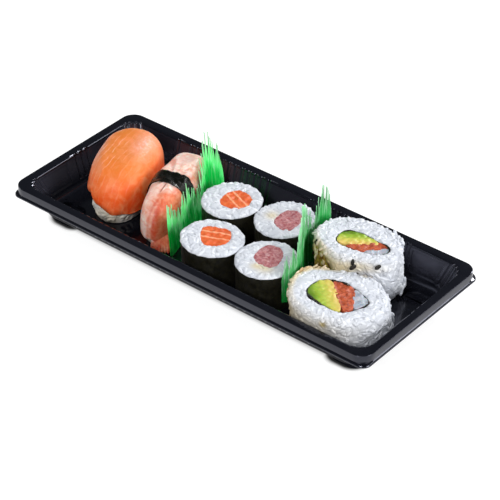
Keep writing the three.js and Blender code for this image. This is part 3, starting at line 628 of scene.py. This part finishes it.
class Rim:
    """Places round the tray, counter-clockwise from the middle of the right side, with the relief of each."""

    def __init__(self):
        rows = [row for side in range(4) for row in self.straight(side) + self.corner(side)]
        (self.normal, self.tangent, self.sign, self.offset, self.share, self.flute, self.panel,
         self.turned) = (np.array(column) for column in zip(*rows))

    def straight(self, side):
        form = LONG_SIDE if side % 2 else SHORT_SIDE
        angle = side * RIGHT_ANGLE
        normal, tangent = (math.cos(angle), math.sin(angle)), (-math.sin(angle), math.cos(angle))
        centres = sorted({sign * flute for flute in form["flutes"] for sign in (-1, 1)})
        samples = across_flutes({}, centres, FLUTE["half_width"], 3)
        for edge in (form["panel"] - 0.2, form["panel"] + 0.2, form["last"]):
            samples[edge] = samples[-edge] = 0.0
        rows = []
        for offset, share in [(0.4, -1.0)] + [(offset, 0.0) for offset in sorted(samples)] + [(-0.4, 1.0)]:
            panel = 1.0 if share or abs(offset) > form["panel"] else 0.0
            rows.append((normal, tangent, (0, 0), offset, share, samples.get(offset, 0.0), panel, False))
        return rows

    def corner(self, side):
        centres, half_turn = CORNER_FLUTES["turns"], CORNER_FLUTES["half_turn"]
        samples = across_flutes({0.0: 0.0, RIGHT_ANGLE: 0.0}, centres, half_turn, 12)
        rows = []
        for turn in sorted(samples):
            angle = side * RIGHT_ANGLE + turn
            normal = (math.cos(angle), math.sin(angle))
            rows.append((normal, (0, 0), CORNERS[side], 0, 0, samples[turn], 0, True))
        return rows

    def ring(self, inset, z, relief):
        """Points round the tray at an inset and a height, pushed out by a share of the wall's relief."""
        on_lip = inset < SHEET + 0.3 and z < LIP_TOP
        radius = LIP_RADIUS if on_lip else CORNER_RADIUS + inset * CORNER_GROWTH
        half = np.array([HALF_LENGTH, HALF_WIDTH]) - inset
        straight = np.abs(self.tangent) @ (half - radius)
        flat = self.normal * (np.abs(self.normal) @ half)[:, None]
        flat += self.tangent * (self.offset + self.share * straight)[:, None]
        turned = self.sign * (half - radius) + self.normal * radius
        out = window(z, FLUTE) * self.flute * FLUTE["depth"] + window(z, PANEL) * self.panel * PANEL["depth"]
        flat = np.where(self.turned[:, None], turned, flat) + self.normal * (relief * out)[:, None]
        return at_height(flat, z)


def window(z, form):
    """How much of a flute or a panel there is at a height, round at both ends."""
    t = min(1, max(0, (z - form["bottom"]) / form["end"])) * min(1, max(0, (form["top"] - z) / form["end"]))
    return math.sqrt(1 - (1 - t) ** 2)


def bend(before, corner, after, length, steps):
    """Curve that rounds off a corner of a profile, from a length before it to a length after it."""
    before, corner, after = (np.array(p, float) for p in (before, corner, after))
    start, end = (corner + unit(p - corner) * length for p in (before, after))
    t = np.linspace(0, 1, steps + 1)[:, None]
    return list((1 - t) ** 2 * start + 2 * t * (1 - t) * corner + t ** 2 * end)


def tray_profile():
    """(inset, height, relief) from the floor's edge up the wall, over the flange and down the outside."""
    (foot_inset, foot_z), (top_inset, top_z) = WALL["foot"], WALL["top"]
    slope = (top_inset - foot_inset) / (top_z - foot_z)

    def inside(z):
        return foot_inset + (z - foot_z) * slope

    def smooth(curve):
        return [(*p, 0) for p in curve]

    underside = FLOOR_TOP - SHEET
    rim_corner = (inside(RIM_HEIGHT), RIM_HEIGHT)
    profile = [(FLOOR_INSET + 0.5, FLOOR_TOP, 0), (FLOOR_INSET, FLOOR_TOP, 0)]
    profile += smooth(bend((FLOOR_INSET, FLOOR_TOP), (inside(FLOOR_TOP), FLOOR_TOP), WALL["top"], 2.2, 7))
    profile += [(inside(z), z, 1) for z in WALL_LEVELS]
    rounding = bend(WALL["foot"], rim_corner, (0, RIM_HEIGHT), 1.3, 8)
    profile += [(*p, min(1, max(0, 3 - i / 2))) for i, p in enumerate(rounding)]
    outline = [                # (inset, height, length of rounding) of the flange, skirt, lip and underside
        (0.45, RIM_HEIGHT, 0.3), (0.4, SKIRT_BOTTOM, 0.25), (0.95, SKIRT_BOTTOM - 0.5, 0.15),
        (0.0, LIP_BOTTOM + 0.85, 0.55), (0.0, LIP_BOTTOM, 0.2), (SHEET, LIP_BOTTOM, 0.3),
        (SHEET + 0.4, RIM_HEIGHT - SHEET, 0.5), (inside(RIM_HEIGHT) + 0.1 - SHEET, RIM_HEIGHT - SHEET, 1.0),
    ]
    corners = [rim_corner] + [(x, z) for x, z, _ in outline] + [(foot_inset - SHEET, foot_z)]
    for i, (x, z, length) in enumerate(outline):
        profile += smooth(bend(corners[i], (x, z), corners[i + 2], length, 4))
    profile += [(inside(z) - SHEET, z, FLUTE["outside"]) for z in reversed(WALL_LEVELS) if z < OUTSIDE_TOP]
    floor_corner, floor_edge = (inside(underside) - SHEET, underside), (FLOOR_INSET + 0.5, underside)
    return profile + smooth(bend(WALL["top"], floor_corner, floor_edge, 3.5, 8)) + [(*floor_edge, 0)]


def foot_block(signs, grow, levels):
    """Rounded block of a foot, through (inset, height) levels."""
    angles = (np.arange(4)[:, None] + np.arange(9) / 8).ravel() * RIGHT_ANGLE
    turned = np.column_stack([np.cos(angles), np.sin(angles)]) * FOOT["radius"]
    sides, middle = np.repeat(CORNERS, 9, axis=0), np.array(signs) * FOOT["middle"]
    rings = []
    for inset, z in levels:
        reach = np.array(FOOT["half"]) + grow - inset - FOOT["radius"]
        rings.append(at_height(middle + (sides * reach + turned), z))
    return loft(rings)


def boolean(target, shape, operation):
    """Joins or cuts a closed shape, and keeps the result in the target's mesh."""
    tool = bpy.data.objects.new("tool", make_mesh("tool", *shape))
    bpy.context.scene.collection.objects.link(tool)
    modifier = target.modifiers.new("cut", "BOOLEAN")
    modifier.operation, modifier.object, modifier.solver = operation, tool, "MANIFOLD"
    evaluated = target.evaluated_get(bpy.context.evaluated_depsgraph_get())
    result = bpy.data.meshes.new_from_object(evaluated)
    target.modifiers.clear()
    target.data = result
    bpy.data.objects.remove(tool)


def add_tray():
    rim = Rim()
    rings = [rim.ring(inset, z, relief) for inset, z, relief in tray_profile()]
    body = bpy.data.objects.new("body", make_mesh("tray_sheet", *loft(rings)))
    bpy.context.scene.collection.objects.link(body)
    for signs in ((-1, -1), (-1, 1), (1, -1), (1, 1)):
        boolean(body, foot_block(signs, 0, FOOT["outside"]), "UNION")
        boolean(body, foot_block(signs, -SHEET, FOOT["hollow"]), "DIFFERENCE")
    mesh = body.data
    bpy.data.objects.remove(body)
    mesh.materials.clear()
    mesh.name = "tray_moulding"
    add_piece(mesh, "tray", "tray", 35)


# ---------- rice ----------


def pebble(size, rows=5, sides=8):
    """Points and faces of a long rounded body, its length along Y."""
    points = [(0, -0.5, 0)]
    for row in range(1, rows + 1):
        angle = math.pi * row / (rows + 1)
        radius = 0.5 * math.sin(angle) ** 0.8
        for i in range(sides):
            turn = TURN * i / sides
            points.append((radius * math.cos(turn), -0.5 * math.cos(angle), radius * math.sin(turn)))
    points.append((0, 0.5, 0))
    faces = [(0, 1 + (i + 1) % sides, 1 + i) for i in range(sides)]
    for row in range(rows - 1):
        here, there = 1 + row * sides, 1 + (row + 1) * sides
        faces += [(here + i, here + (i + 1) % sides, there + (i + 1) % sides, there + i)
                  for i in range(sides)]
    last = 1 + (rows - 1) * sides
    faces += [(last + i, last + (i + 1) % sides, len(points) - 1) for i in range(sides)]
    return np.array(points) * size, faces


def outward_triangles(points, faces):
    """Triangles of a closed shape, all facing out."""
    triangles = np.array([(face[0], face[i], face[i + 1]) for face in faces for i in range(1, len(face) - 1)])
    a, b, c = (points[triangles[:, i]] for i in range(3))
    return triangles if np.einsum("ij,ij->", a, np.cross(b, c)) > 0 else triangles[:, ::-1]


def spread_places(points, triangles, count, spacing, seed, keep):
    """Places and outward directions over a surface, no two nearer than a spacing, where keep allows."""
    areas = np.linalg.norm(double_areas(points, triangles), axis=1)
    random = np.random.default_rng(seed)
    picked = random.choice(len(triangles), count * 12, p=areas / areas.sum())
    a, b = random.random((2, len(picked)))
    flip = a + b > 1
    a, b = np.where(flip, 1 - a, a), np.where(flip, 1 - b, b)
    shares = np.column_stack([1 - a - b, a, b])[:, :, None]
    places = (points[triangles[picked]] * shares).sum(1)
    outward = unit((vertex_normals(points, triangles)[triangles[picked]] * shares).sum(1))
    allowed = keep(places, outward)
    places, outward = places[allowed], outward[allowed]
    chosen = []
    for i, place in enumerate(places):
        if len(chosen) >= count:
            break
        if not chosen or np.min(np.sum((places[chosen] - place) ** 2, axis=1)) > spacing ** 2:
            chosen.append(i)
    return places[chosen], outward[chosen]


def scattered(places, outward, size, sunk, seed):
    """One shape of many small bodies lying on a surface at random turns, and the shade of each point."""
    random = np.random.default_rng(seed)
    base, faces = pebble(np.array(size))
    count = len(places)
    lean = unit(outward + random.normal(0, TILT, (count, 3)))
    side = unit(np.cross(lean, random.normal(0, 1, (count, 3))))
    scale = random.uniform(0.85, 1.12, (count, 3))
    axes = np.stack([side * scale[:, :1], np.cross(lean, side) * scale[:, 1:2], lean * scale[:, 2:]], axis=1)
    points = np.einsum("vk,nkx->nvx", base, axes) + (places - outward * sunk)[:, None, :]
    shade = np.repeat(random.random(count), len(base))
    all_faces = [tuple(i + n * len(base) for i in face) for n in range(count) for face in faces]
    return points.reshape(-1, 3), all_faces, shade


def around(values, turns):
    """Value of a closed loop of evenly spaced values at each turn, in radians."""
    return np.interp(turns % TURN, np.linspace(0, TURN, len(values) + 1), np.append(values, values[0]))


class RollRice:
    """Rice of a roll: the CAD node's outside at some depths below the cut, a rounded edge, a cut face, and a
    hole that fits round the roll's core."""

    EDGE = ((0.1, 0.4), (0.4, 0.12), (0.9, -0.08))      # (inward, depth) of the rounded edge of the cut

    def __init__(self, name, roll, core, depths, swell, ragged):
        self.roll, self.axis, self.top, self.seed = roll, np.array(roll["axis"]), roll["top"], roll["seed"]
        angles, self.out = spokes(144)
        self.tree, core_tree = cad_tree(f"{name}_rice"), cad_tree(core)
        sides = [softened(section(self.tree, self.axis, self.top - depth, angles), 3) for depth in depths]
        self.edge = sides[-1] + ragged * waves(at_height(self.out * 12, 0), 2.6, self.seed)
        hole, foot = (softened(section(core_tree, self.axis, z, angles), 2) + SNUG
                      for z in (self.top - 0.6, FOOD_BASE + 0.5))
        self.hole = hole + 0.3 * waves(at_height(self.out * 9, 0), 1.8, self.seed + 2) * min(1, swell * 4)
        rings = [self.ring(radii, self.top - depth) for radii, depth in zip(sides[:-1], depths)]
        rings += [self.ring(self.edge, self.top - depths[-1])]
        rings += [self.ring(self.edge - inward, self.top - depth) for inward, depth in self.EDGE]
        for share in np.linspace(0.95, 0.1, 12):
            face = self.ring(self.hole + (self.edge - self.EDGE[-1][0] - self.hole) * share, self.top)
            rise = 0.08 + swell * math.sin(math.pi * share)
            face[:, 2] += rise + 0.2 * waves(face * (1, 1, 0), 3.5, self.seed)
            rings.append(face)
        rings += [self.ring(self.hole + 0.15, self.top - 0.05), self.ring(self.hole, self.top - 0.4)]
        self.shape = loft(rings + [self.ring(foot, FOOD_BASE + 0.05)], hoop=True)

    def ring(self, radii, z):
        return at_height(self.axis + self.out * radii[:, None], z)

    def polar(self, points):
        """Offset from the axis, distance and turn of points, seen from above."""
        flat = points[:, :2] - self.axis
        return flat, np.linalg.norm(flat, axis=1), np.arctan2(flat[:, 1], flat[:, 0])

    def grains(self, count, spacing, sides, sunk):
        """Grains pressed into the cut face, and into the side where that shows."""
        def shows(places, outward):
            away = np.einsum("ij,ij->i", outward[:, :2], places[:, :2] - self.axis)
            return (outward[:, 2] > 0.55) | (sides & (away > 0) & (outward[:, 2] > -0.3))

        triangles = outward_triangles(*self.shape)
        places, outward = spread_places(self.shape[0], triangles, count, spacing, self.seed, shows)
        if sides:
            loose = [self.clump(*spot) for spot in self.roll["loose"]]
            places, outward = (np.concatenate(parts) for parts in zip((places, outward), *loose))
        points, faces, shade = scattered(places, outward, GRAIN, sunk, self.seed + 1)
        cut = self.top + 0.5 + 0.2 * waves(points * (1, 1, 0), 4.0, self.seed)
        points[:, 2] = np.where(points[:, 2] > cut, cut + (points[:, 2] - cut) * 0.2, points[:, 2])
        if not sides:
            points[:, 2] = np.maximum(points[:, 2], self.top - 0.8)
        flat, radius, turns = self.polar(points)
        farthest = around(self.edge, turns) + (9.0 if sides else 0.05)
        wanted = np.clip(radius, around(self.hole, turns) + 0.05, farthest)
        points[:, :2] = self.axis + flat * (wanted / radius)[:, None]
        return points, faces, shade

    def clump(self, angle, z, out, count=12):
        """Places and outward directions of grains piled on the side, ever fewer away from it."""
        random = np.random.default_rng(int(z * 10))
        radius = section(self.tree, self.axis, z, [angle])[0]
        turns = angle + random.normal(0, 1.2, count) / radius
        normals = np.column_stack([np.cos(turns), np.sin(turns), np.zeros(count)])
        distance = radius - 0.4 + out * random.random(count) ** 1.5
        places = normals * distance[:, None] + (*self.axis, 0)
        places[:, 2] = np.minimum(z + random.normal(0, 1.2, count), self.top)
        return places, normals

    def patches(self, points, spots):
        """How much of the given patches of the side is at each point."""
        _, radius, turns = self.polar(points)
        edge = around(self.edge, turns)
        total = np.zeros(len(points))
        for angle, z, wide, high, strength in spots:
            total += strength * bell(apart(turns, angle) / wide, (points[:, 2] - z) / high)
        return np.clip(1.4 * total, 0, 1) * ease(radius, edge - 3.2, edge - 0.6)


def add_rice(name, core, grains, extra):
    """Rice that shows its grains, (points, faces, shade), over a core of its node's form."""
    points, faces = joined([core, grains[:2]])
    shade = np.concatenate([np.full(len(core[0]), 0.4), grains[2]])
    mesh = make_mesh(f"{name}_grains", points, faces, {"shade": shade, **extra(points)})
    add_piece(mesh, "rice", f"{name}_rice", 60)


# ---------- rolls ----------


def add_filling(node, name, look, values, grow=FILLED_OUT):
    """Filling with its node's outline, filled out a little, an eased edge and an uneven cut face. Values give
    its pattern at each point."""
    bottom, top, axis, tree = cad_form(node)
    top += 0.5 * (grow - FILLED_OUT)
    angles, out = spokes(96)
    low, high = (softened(section(tree, axis, z, angles), 2) + grow for z in (bottom + 0.6, top - 0.8))

    def ring(share, z):
        radii = low + (high - low) * (z - bottom) / (top - bottom)
        return at_height(axis + out * (radii * share)[:, None], z)

    side = [ring(1, z) for z in (bottom, bottom + 2, top - 1.5, top - 0.6)]
    cut = [ring(0.997, top - 0.25), ring(0.985, top - 0.06), ring(0.955, top)]
    cut += [ring(share, top) for share in np.linspace(0.88, 0.02, 14)]
    for layer in cut:
        layer[:, 2] += 0.35 * waves(layer * (1, 1, 0), 2.2, len(name))
    points, faces = loft(side + cut)
    add_piece(make_mesh(name, points, faces, values(points)), look, node, 50)


def add_nori_hoop(roll, wave, shows=()):
    """Thin wrapping with the outline of a CAD hoop, its cut edge a little uneven. Where it shows it is thick
    and high, and in between thin and low."""
    node, name = f"{roll}_nori", f"{roll}_wrap"
    bottom, top, axis, tree = cad_form(node)
    angles, out = spokes(160)
    low, high = (softened(section(tree, axis, z, angles), 3) for z in (bottom + 0.6, top - 0.3))
    edge = wave * waves(at_height(out * 9, 0), 2.5, len(name))
    thickness = 0.45
    if shows:
        shown = np.clip(sum(share * bell(apart(angles, angle) / wide) for angle, wide, share in shows), 0, 1)
        thickness = 0.2 + 0.9 * shown
        edge += shown - 0.5

    def ring(inward, share):
        z = bottom + (top - bottom) * share
        crinkle = 0.12 * np.sin(angles * 23 + z * 0.4) * np.sin(angles * 7)
        radii = low + (high - low) * share - inward + crinkle
        return at_height(axis + out * radii[:, None], z + edge * share)

    shares = np.linspace(0, 1, 12)
    rings = [ring(0, share) for share in shares] + [ring(thickness, share) for share in shares[::-1]]
    add_piece(make_mesh(name, *loft(rings, hoop=True)), "nori", node, 50)


def no_lines(points):
    return {"fat": np.zeros(len(points))}


def fat_lines(angle, spacing, width):
    """Pattern of two pale lines across a cut face, on either side of its middle."""
    def values(points):
        across = (points[:, :2] - points[:, :2].mean(0)) @ (math.cos(angle), math.sin(angle))
        return {"fat": np.clip(1.2 - np.abs(np.abs(across) - spacing / 2) / width, 0, 1)}
    return values


def gradient(angle, low, high):
    """Value from 0 to 1 between two distances along an angle seen from above."""
    def values(points):
        distance = points[:, 0] * math.cos(angle) + points[:, 1] * math.sin(angle)
        return {"ripe": np.clip((distance - low) / (high - low), 0, 1)}
    return values


def add_small_rolls():
    for name, roll in SMALL_ROLLS.items():
        deep = roll["top"] - FOOD_BASE
        depths = [deep - 0.05, deep - 1, 1.6, 1.3, 0.95, 0.72]
        rice = RollRice(name, roll, f"{name}_filling", depths, swell=0.35, ragged=0.3)

        def tinged(points, rice=rice, spots=roll["tinges"]):
            cream = np.zeros(len(points))
            for x, y, radius in spots:
                cream += 0.8 * bell(np.linalg.norm(points[:, :2] - rice.axis - (x, y), axis=1) / radius)
            return {"cream": cream}

        add_rice(name, rice.shape, rice.grains(count=200, spacing=1.5, sides=False, sunk=0.62), tinged)
        add_nori_hoop(name, wave=0.3)
        pattern = fat_lines(*roll["fat"]) if roll["fat"] else no_lines
        add_filling(f"{name}_filling", f"{name}_{roll['filling']}", roll["filling"], pattern)


def add_large_rolls():
    for name, roll in LARGE_ROLLS.items():
        depths = np.linspace(roll["top"] - FOOD_BASE - 0.05, 0.66, 13)
        rice = RollRice(name, roll, f"{name}_nori", depths, swell=0.2, ragged=0.0)

        def toasted(points, rice=rice):
            return {key: rice.patches(points, rice.roll[key]) for key in ("stain", "cream")}

        add_rice(name, rice.shape, rice.grains(count=1050, spacing=1.55, sides=True, sunk=0.72), toasted)
        add_nori_hoop(name, wave=0.2, shows=roll["nori"])
        add_filling(f"{name}_salmon", f"{name}_fish", "uramaki_salmon", no_lines, grow=0.75)
        add_filling(f"{name}_surimi", f"{name}_stick", "surimi", no_lines, grow=0.6)
    for name, roll in LARGE_ROLLS.items():
        ripe = gradient(*roll["avocado"])
        add_filling(f"{name}_avocado", f"{name}_avocado_slice", "avocado", ripe, grow=0.75)


# ---------- nigiri ----------


def power(value, exponent):
    return np.sign(value) * np.abs(value) ** exponent


def placed(nigiri, across, along):
    """X and Y of a place in a nigiri's own axes."""
    (x, y), cos, sin = nigiri["centre"], math.cos(nigiri["yaw"]), math.sin(nigiri["yaw"])
    return x + across * cos - along * sin, y + across * sin + along * cos


def local_of(nigiri, points):
    """Across and along of points, in a nigiri's own axes."""
    flat = points[:, :2] - nigiri["centre"]
    cos, sin = math.cos(nigiri["yaw"]), math.sin(nigiri["yaw"])
    return flat @ (cos, sin), flat @ (-sin, cos)


def nigiri_ring(nigiri, angles, rise, inward):
    """Points of a nigiri's rounded block: rise is -1 at the floor, 0 at the waist and 1 at the top."""
    waist = nigiri["waist"]
    high = np.clip(rise, 0, 1) * RIGHT_ANGLE
    spread = np.where(rise < 0, 1 - 0.1 * rise * rise, power(np.cos(high), nigiri["shoulder"]))
    half_width = nigiri["half_width"] * (1 + nigiri["flare"] * np.sin(angles)) - inward
    x = half_width * spread * power(np.cos(angles), 0.8)
    y = (nigiri["half_length"] - inward) * spread * power(np.sin(angles), 0.8)
    crown = (nigiri["top"] - inward - waist) * power(np.sin(high), 0.86)
    height = waist + np.where(rise < 0, (waist - FOOD_BASE) * rise, crown)
    height = height + np.clip((height - FOOD_BASE) / 10, 0, 1) * nigiri["pitch"] * y
    return np.column_stack([*placed(nigiri, x, y), height])


def draped(nigiri, relief, edge):
    """Topping over a nigiri: underside from crown to edge, a rounded edge, then the outside back up.
    Relief gives how far the outside stands out, and edge how uneven the lower edge is."""
    angles, _ = spokes(200)
    thickness, rim, waist = nigiri["thickness"], nigiri["rim"], nigiri["waist"]
    height = rim["height"] + rim["swing"] * np.cos(angles - rim["towards"])
    low = (height - waist + edge(angles)) / (waist - FOOD_BASE)

    def ring(share, inward, drop=0.0):
        rise = low + (1 - low) * share - drop / (waist - FOOD_BASE)
        return nigiri_ring(nigiri, angles, np.clip(rise, -1, 1), inward)

    rings = [ring(share, thickness) for share in (0.96, 0.85, 0.7, 0.5, 0.3, 0.12)]
    for turn in np.linspace(math.pi, 0, 9):
        rings.append(ring(0.03, thickness / 2 * (1 - math.cos(turn)), 1.6 * math.sin(turn)))
    for share in np.linspace(0.06, 0.985, 64):
        rings.append(ring(share, -relief(angles, share)))
    return loft(rings)


def add_nigiri_rice(name, topping):
    """Rice block with grains wherever the topping doesn't lie on it."""
    cover = cad_tree(topping)

    def bare(places, outward):
        hits = [cover.ray_cast(Vector(p), Vector(n), 2.2)[0] for p, n in zip(places, outward)]
        return np.array([hit is None for hit in hits]) & (outward[:, 2] > -0.5)

    def warm(points):
        return {"cream": 0.6 + 0.25 * waves(points, 6, 4)}

    points, triangles = cad_shape(f"{name}_rice")
    places, outward = spread_places(points, triangles, count=420, spacing=1.5, seed=len(name), keep=bare)
    core = points - vertex_normals(points, triangles) * 0.2, [tuple(t) for t in triangles.tolist()]
    add_rice(name, core, scattered(places, outward, GRAIN, sunk=0.6, seed=9), warm)


def add_salmon_nigiri():
    def relief(angles, share):
        along = 25 * np.sin(angles) * (1 - share)
        across = 16 * np.cos(angles) * (1 - share)
        return 0.16 * np.sin(across * 1.1 + along * 0.22) * share + 0.3 * np.sin(along * 0.16 + 1)

    def edge(angles):
        return 0.5 * np.sin(5 * angles) + 0.3 * np.sin(11 * angles + 1)

    points, faces = draped(SALMON_NIGIRI, relief, edge)
    across, along = local_of(SALMON_NIGIRI, points)
    mesh = make_mesh("salmon_nigiri_topping", points, faces, {
        "grain": (across - 0.18 * along + 0.08 * (SALMON_NIGIRI["top"] - points[:, 2])) / 3,
        # height carries painted shade low on the slice and painted light at its top
        "height": np.clip((points[:, 2] - 8) / 26, 0, 1),
        # pale: a painted highlight on the right shoulder, and a paler tint along the left edge
        "pale": (0.95 * bell((across - 8) / 5, (along - 8) / 10)
                 + 0.6 * bell((across + 14) / 4, (along + 1) / 10)),
        "lined": 0.15 + 0.95 * bell((across + 7) / 7, (along + 3) / 10),
    })
    add_piece(mesh, "salmon_slice", "salmon_nigiri_slice")
    add_nigiri_rice("salmon_nigiri", "salmon_nigiri_slice")


def add_shrimp_nigiri():
    def relief(angles, share):
        crease = 0.7 * bell(np.cos(angles) * (1 - share) / 0.14) * share
        return 0.5 * (np.cos(np.sin(angles) * 7) - 1) * (0.4 + 0.6 * share) - crease

    def edge(angles):
        return 0.6 * np.sin(7 * angles) + 0.4 * np.sin(13 * angles + 2)

    body = draped(SHRIMP_NIGIRI, relief, edge)
    points, faces = joined([body, *tail_fins()])
    across, along = local_of(SHRIMP_NIGIRI, points)
    fan = 0.5 + 0.7 * waves(np.column_stack([across - 0.25 * along, 0.14 * along, 0 * along]), 1.7, 3)
    mesh = make_mesh("shrimp_nigiri_topping", points, faces, {
        "stain": 0.5 * ease(-along, 2, 22) * ease(across, -7, 5) + 0.3 * ease(across, 1, 9),
        "red": ease(-along, 11, 27) * np.clip(fan, 0, 1.1) * ease(across, -7, 3),
        # crease: painted shade along the groove down the middle
        "crease": bell((across - 0.4) / 0.35) * ease(-along, 8, 10) * ease(along, -18, -14),
    })
    add_piece(mesh, "shrimp", "shrimp_nigiri_shrimp")
    add_nigiri_rice("shrimp_nigiri", "shrimp_nigiri_shrimp")
    add_band(*body)


def tail_fins():
    """Narrow fins of the tail, fanned out from the front end of the shrimp down to its foot."""
    fins = []
    for i, side in enumerate(np.linspace(-1, 1, 7)):
        points, faces = pebble(np.array(TAIL["fin"]), 9, 10)
        yaw = Matrix.Rotation(TAIL["yaw"] + side * TAIL["fan"], 3, "Z")
        turn = np.array(yaw @ Matrix.Rotation(TAIL["pitch"], 3, "X"))
        root = np.array(TAIL["root"]) + (side * TAIL["spread"], abs(side), -0.2 * i)
        across, along, z = (points @ turn.T + root).T
        fins.append((np.column_stack([*placed(SHRIMP_NIGIRI, across, along), z]), faces))
    return fins


def add_band(points, faces):
    """Strip of nori over the shrimp's points and faces, with ragged long edges."""
    tree = BVHTree.FromPolygons(points.tolist(), faces)
    turns = np.linspace(*BAND["turns"], 91)
    rows = np.linspace(-0.5, 0.5, 14)
    far = 60

    def place(radius, turn, share, off=0.0):
        along = BAND["at"] + share * BAND["width"] + off
        return (*placed(SHRIMP_NIGIRI, math.sin(turn) * radius, along), BAND["hub"] + math.cos(turn) * radius)

    def reach(turn, share):
        """Distance of the shrimp from the line that the band goes round."""
        hub, outside = Vector(place(0, turn, share)), Vector(place(far, turn, share))
        return far - tree.ray_cast(outside, hub - outside)[3]

    def ragged(column, share):
        """How far a long edge stands out there, with noise of its own for each edge."""
        slow, quick = (0, 4) if share < 0 else (9, 7)
        wave = 0.5 * noise.noise(Vector((column * 0.3, slow, 0)))
        wave += 0.35 * noise.noise(Vector((column * 1.1, quick, 0)))
        return wave * abs(share * 2) ** 3

    radii = [softened([reach(turn, share) for turn in turns], 7, "edge") for share in rows]
    rings = []
    for column, turn in enumerate(turns):
        crinkle = [0.3 * noise.noise(Vector((column * 0.22, row * 0.35, 2))) for row in range(len(rows))]
        outer, inner = (
            [place(radii[row][column] + outward + crinkle[row], turn, share, ragged(column, share))
             for row, share in enumerate(rows)]
            for outward in (BAND["gap"] + BAND["thickness"], BAND["gap"])
        )
        rings.append(outer + inner[::-1])
    add_piece(make_mesh("shrimp_nigiri_nori", *loft(rings)), "nori_band", "shrimp_nigiri_band")


# ---------- dividers ----------


def along_route(values, position):
    return np.interp(np.asarray(position) * (len(values) - 1), range(len(values)), values)


def route_points(route, count):
    """Even points on a smooth curve through a route seen from above."""
    ends = [np.array(p, float) for p in route]
    guide = [2 * ends[0] - ends[1], *ends, 2 * ends[-1] - ends[-2]]
    curve = []
    for a, b, c, d in zip(guide, guide[1:], guide[2:], guide[3:]):
        for t in np.linspace(0, 1, 40, endpoint=False):
            curve.append(0.5 * (2 * b + (c - a) * t + (2 * a - 5 * b + 4 * c - d) * t ** 2
                                + (3 * b - a - 3 * c + d) * t ** 3))
    curve = np.array(curve + [ends[-1]])
    length = np.concatenate([[0], np.cumsum(np.linalg.norm(np.diff(curve, axis=0), axis=1))])
    wanted = np.linspace(0, length[-1], count)
    return np.column_stack([np.interp(wanted, length, curve[:, i]) for i in range(2)])


def add_divider(name, form):
    """Thin sheet cut into narrow blades above its uncut foot, with fine pleats down it."""
    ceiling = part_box(name)[1].z / MM
    random = np.random.default_rng(form["seed"])
    columns = np.arange(BLADES * BLADE_STEPS + 1)
    path = route_points(form["route"], len(columns))
    ahead = np.gradient(path, axis=0)
    side = unit(np.column_stack([ahead[:, 1], -ahead[:, 0]]))
    foot, lean = (along_route(form[key], columns / columns[-1]) for key in ("foot", "lean"))
    pleat = PLEAT * np.sin(columns * 2.2)
    shapes, heights = [], []
    for blade in range(BLADES):
        middle = (blade + 0.5) / BLADES
        bottom = along_route(form["foot"], middle)
        tip = min(ceiling, along_route(form["tips"], middle) - 3.5 * random.random() ** 1.5)
        slit = bottom + (tip - bottom) * random.uniform(0.45, 0.62)
        curl = random.normal(0, 0.5)
        first = blade * BLADE_STEPS
        here = slice(first, first + BLADE_STEPS + 1)
        centre = path[first + BLADE_STEPS // 2]
        tuft = path[min((blade // TUFT * TUFT + TUFT // 2) * BLADE_STEPS, len(path) - 1)]
        rings = []
        for share in np.linspace(0, 1, BLADE_LEVELS + 1):
            z = foot[here] + (tip - foot[here]) * share
            cut = (ease(z, slit, tip) ** 1.3)[:, None]
            flat = path[here] + (centre - path[here]) * cut * 0.97 + (tuft - centre) * 0.45 * cut ** 1.5
            flat[:, 0] += lean[here] * (z - foot[here]) / DIVIDER_HEIGHT
            flat += side[here] * (pleat[here, None] + cut * curl)
            half = side[here] * DIVIDER_SHEET / 2
            rings.append(np.concatenate([at_height(flat + half, z), at_height(flat - half, z)[::-1]]))
        shapes.append(loft(rings))
        heights.append(np.clip((shapes[-1][0][:, 2] - slit + 14) / (tip - slit + 14), 0, 1))
    mesh = make_mesh(f"{name}_film", *joined(shapes), {"height": np.concatenate(heights)})
    add_piece(mesh, name, name)


# ---------- sesame ----------


def add_sesame():
    """Pale and golden seeds in groups on the coated sides of the large rolls, and a few black ones."""
    random = np.random.default_rng(11)
    groups = {"golden": [], "black": []}
    for name, roll in LARGE_ROLLS.items():
        tree, axis, top = cad_tree(f"{name}_rice"), np.array(roll["axis"]), roll["top"]
        pale = []
        for angle, z, wide, high, count in roll["pale"]:
            turns = angle + random.uniform(-wide, wide, count)
            heights = np.minimum(z + random.uniform(-high, high, count), top + 0.2)
            pale += list(zip(turns, heights))
        for key, spots, scale in (("golden", pale, 1.0), ("black", roll["black"], 1.2)):
            outward = np.array([(math.cos(angle), math.sin(angle), 0.25) for angle, _ in spots])
            radii = np.array([section(tree, axis, min(z, top - 1), [angle])[0] for angle, z in spots])
            places = at_height(axis + outward[:, :2] * radii[:, None], [z for _, z in spots])
            size = np.array(SEED) * scale
            groups[key].append(scattered(places, outward, size, sunk=-0.3, seed=roll["seed"] + 50))
    for key, shapes in groups.items():
        points, faces = joined([shape[:2] for shape in shapes])
        shade = {"shade": np.concatenate([shape[2] for shape in shapes])}
        add_piece(make_mesh(f"sesame_{key}", points, faces, shade), f"sesame_{key}")


# ---------- assembly ----------

add_studio()
add_tray()
add_salmon_nigiri()
add_shrimp_nigiri()
add_small_rolls()
add_large_rolls()
for divider_name, divider_form in DIVIDERS.items():
    add_divider(divider_name, divider_form)
add_sesame()
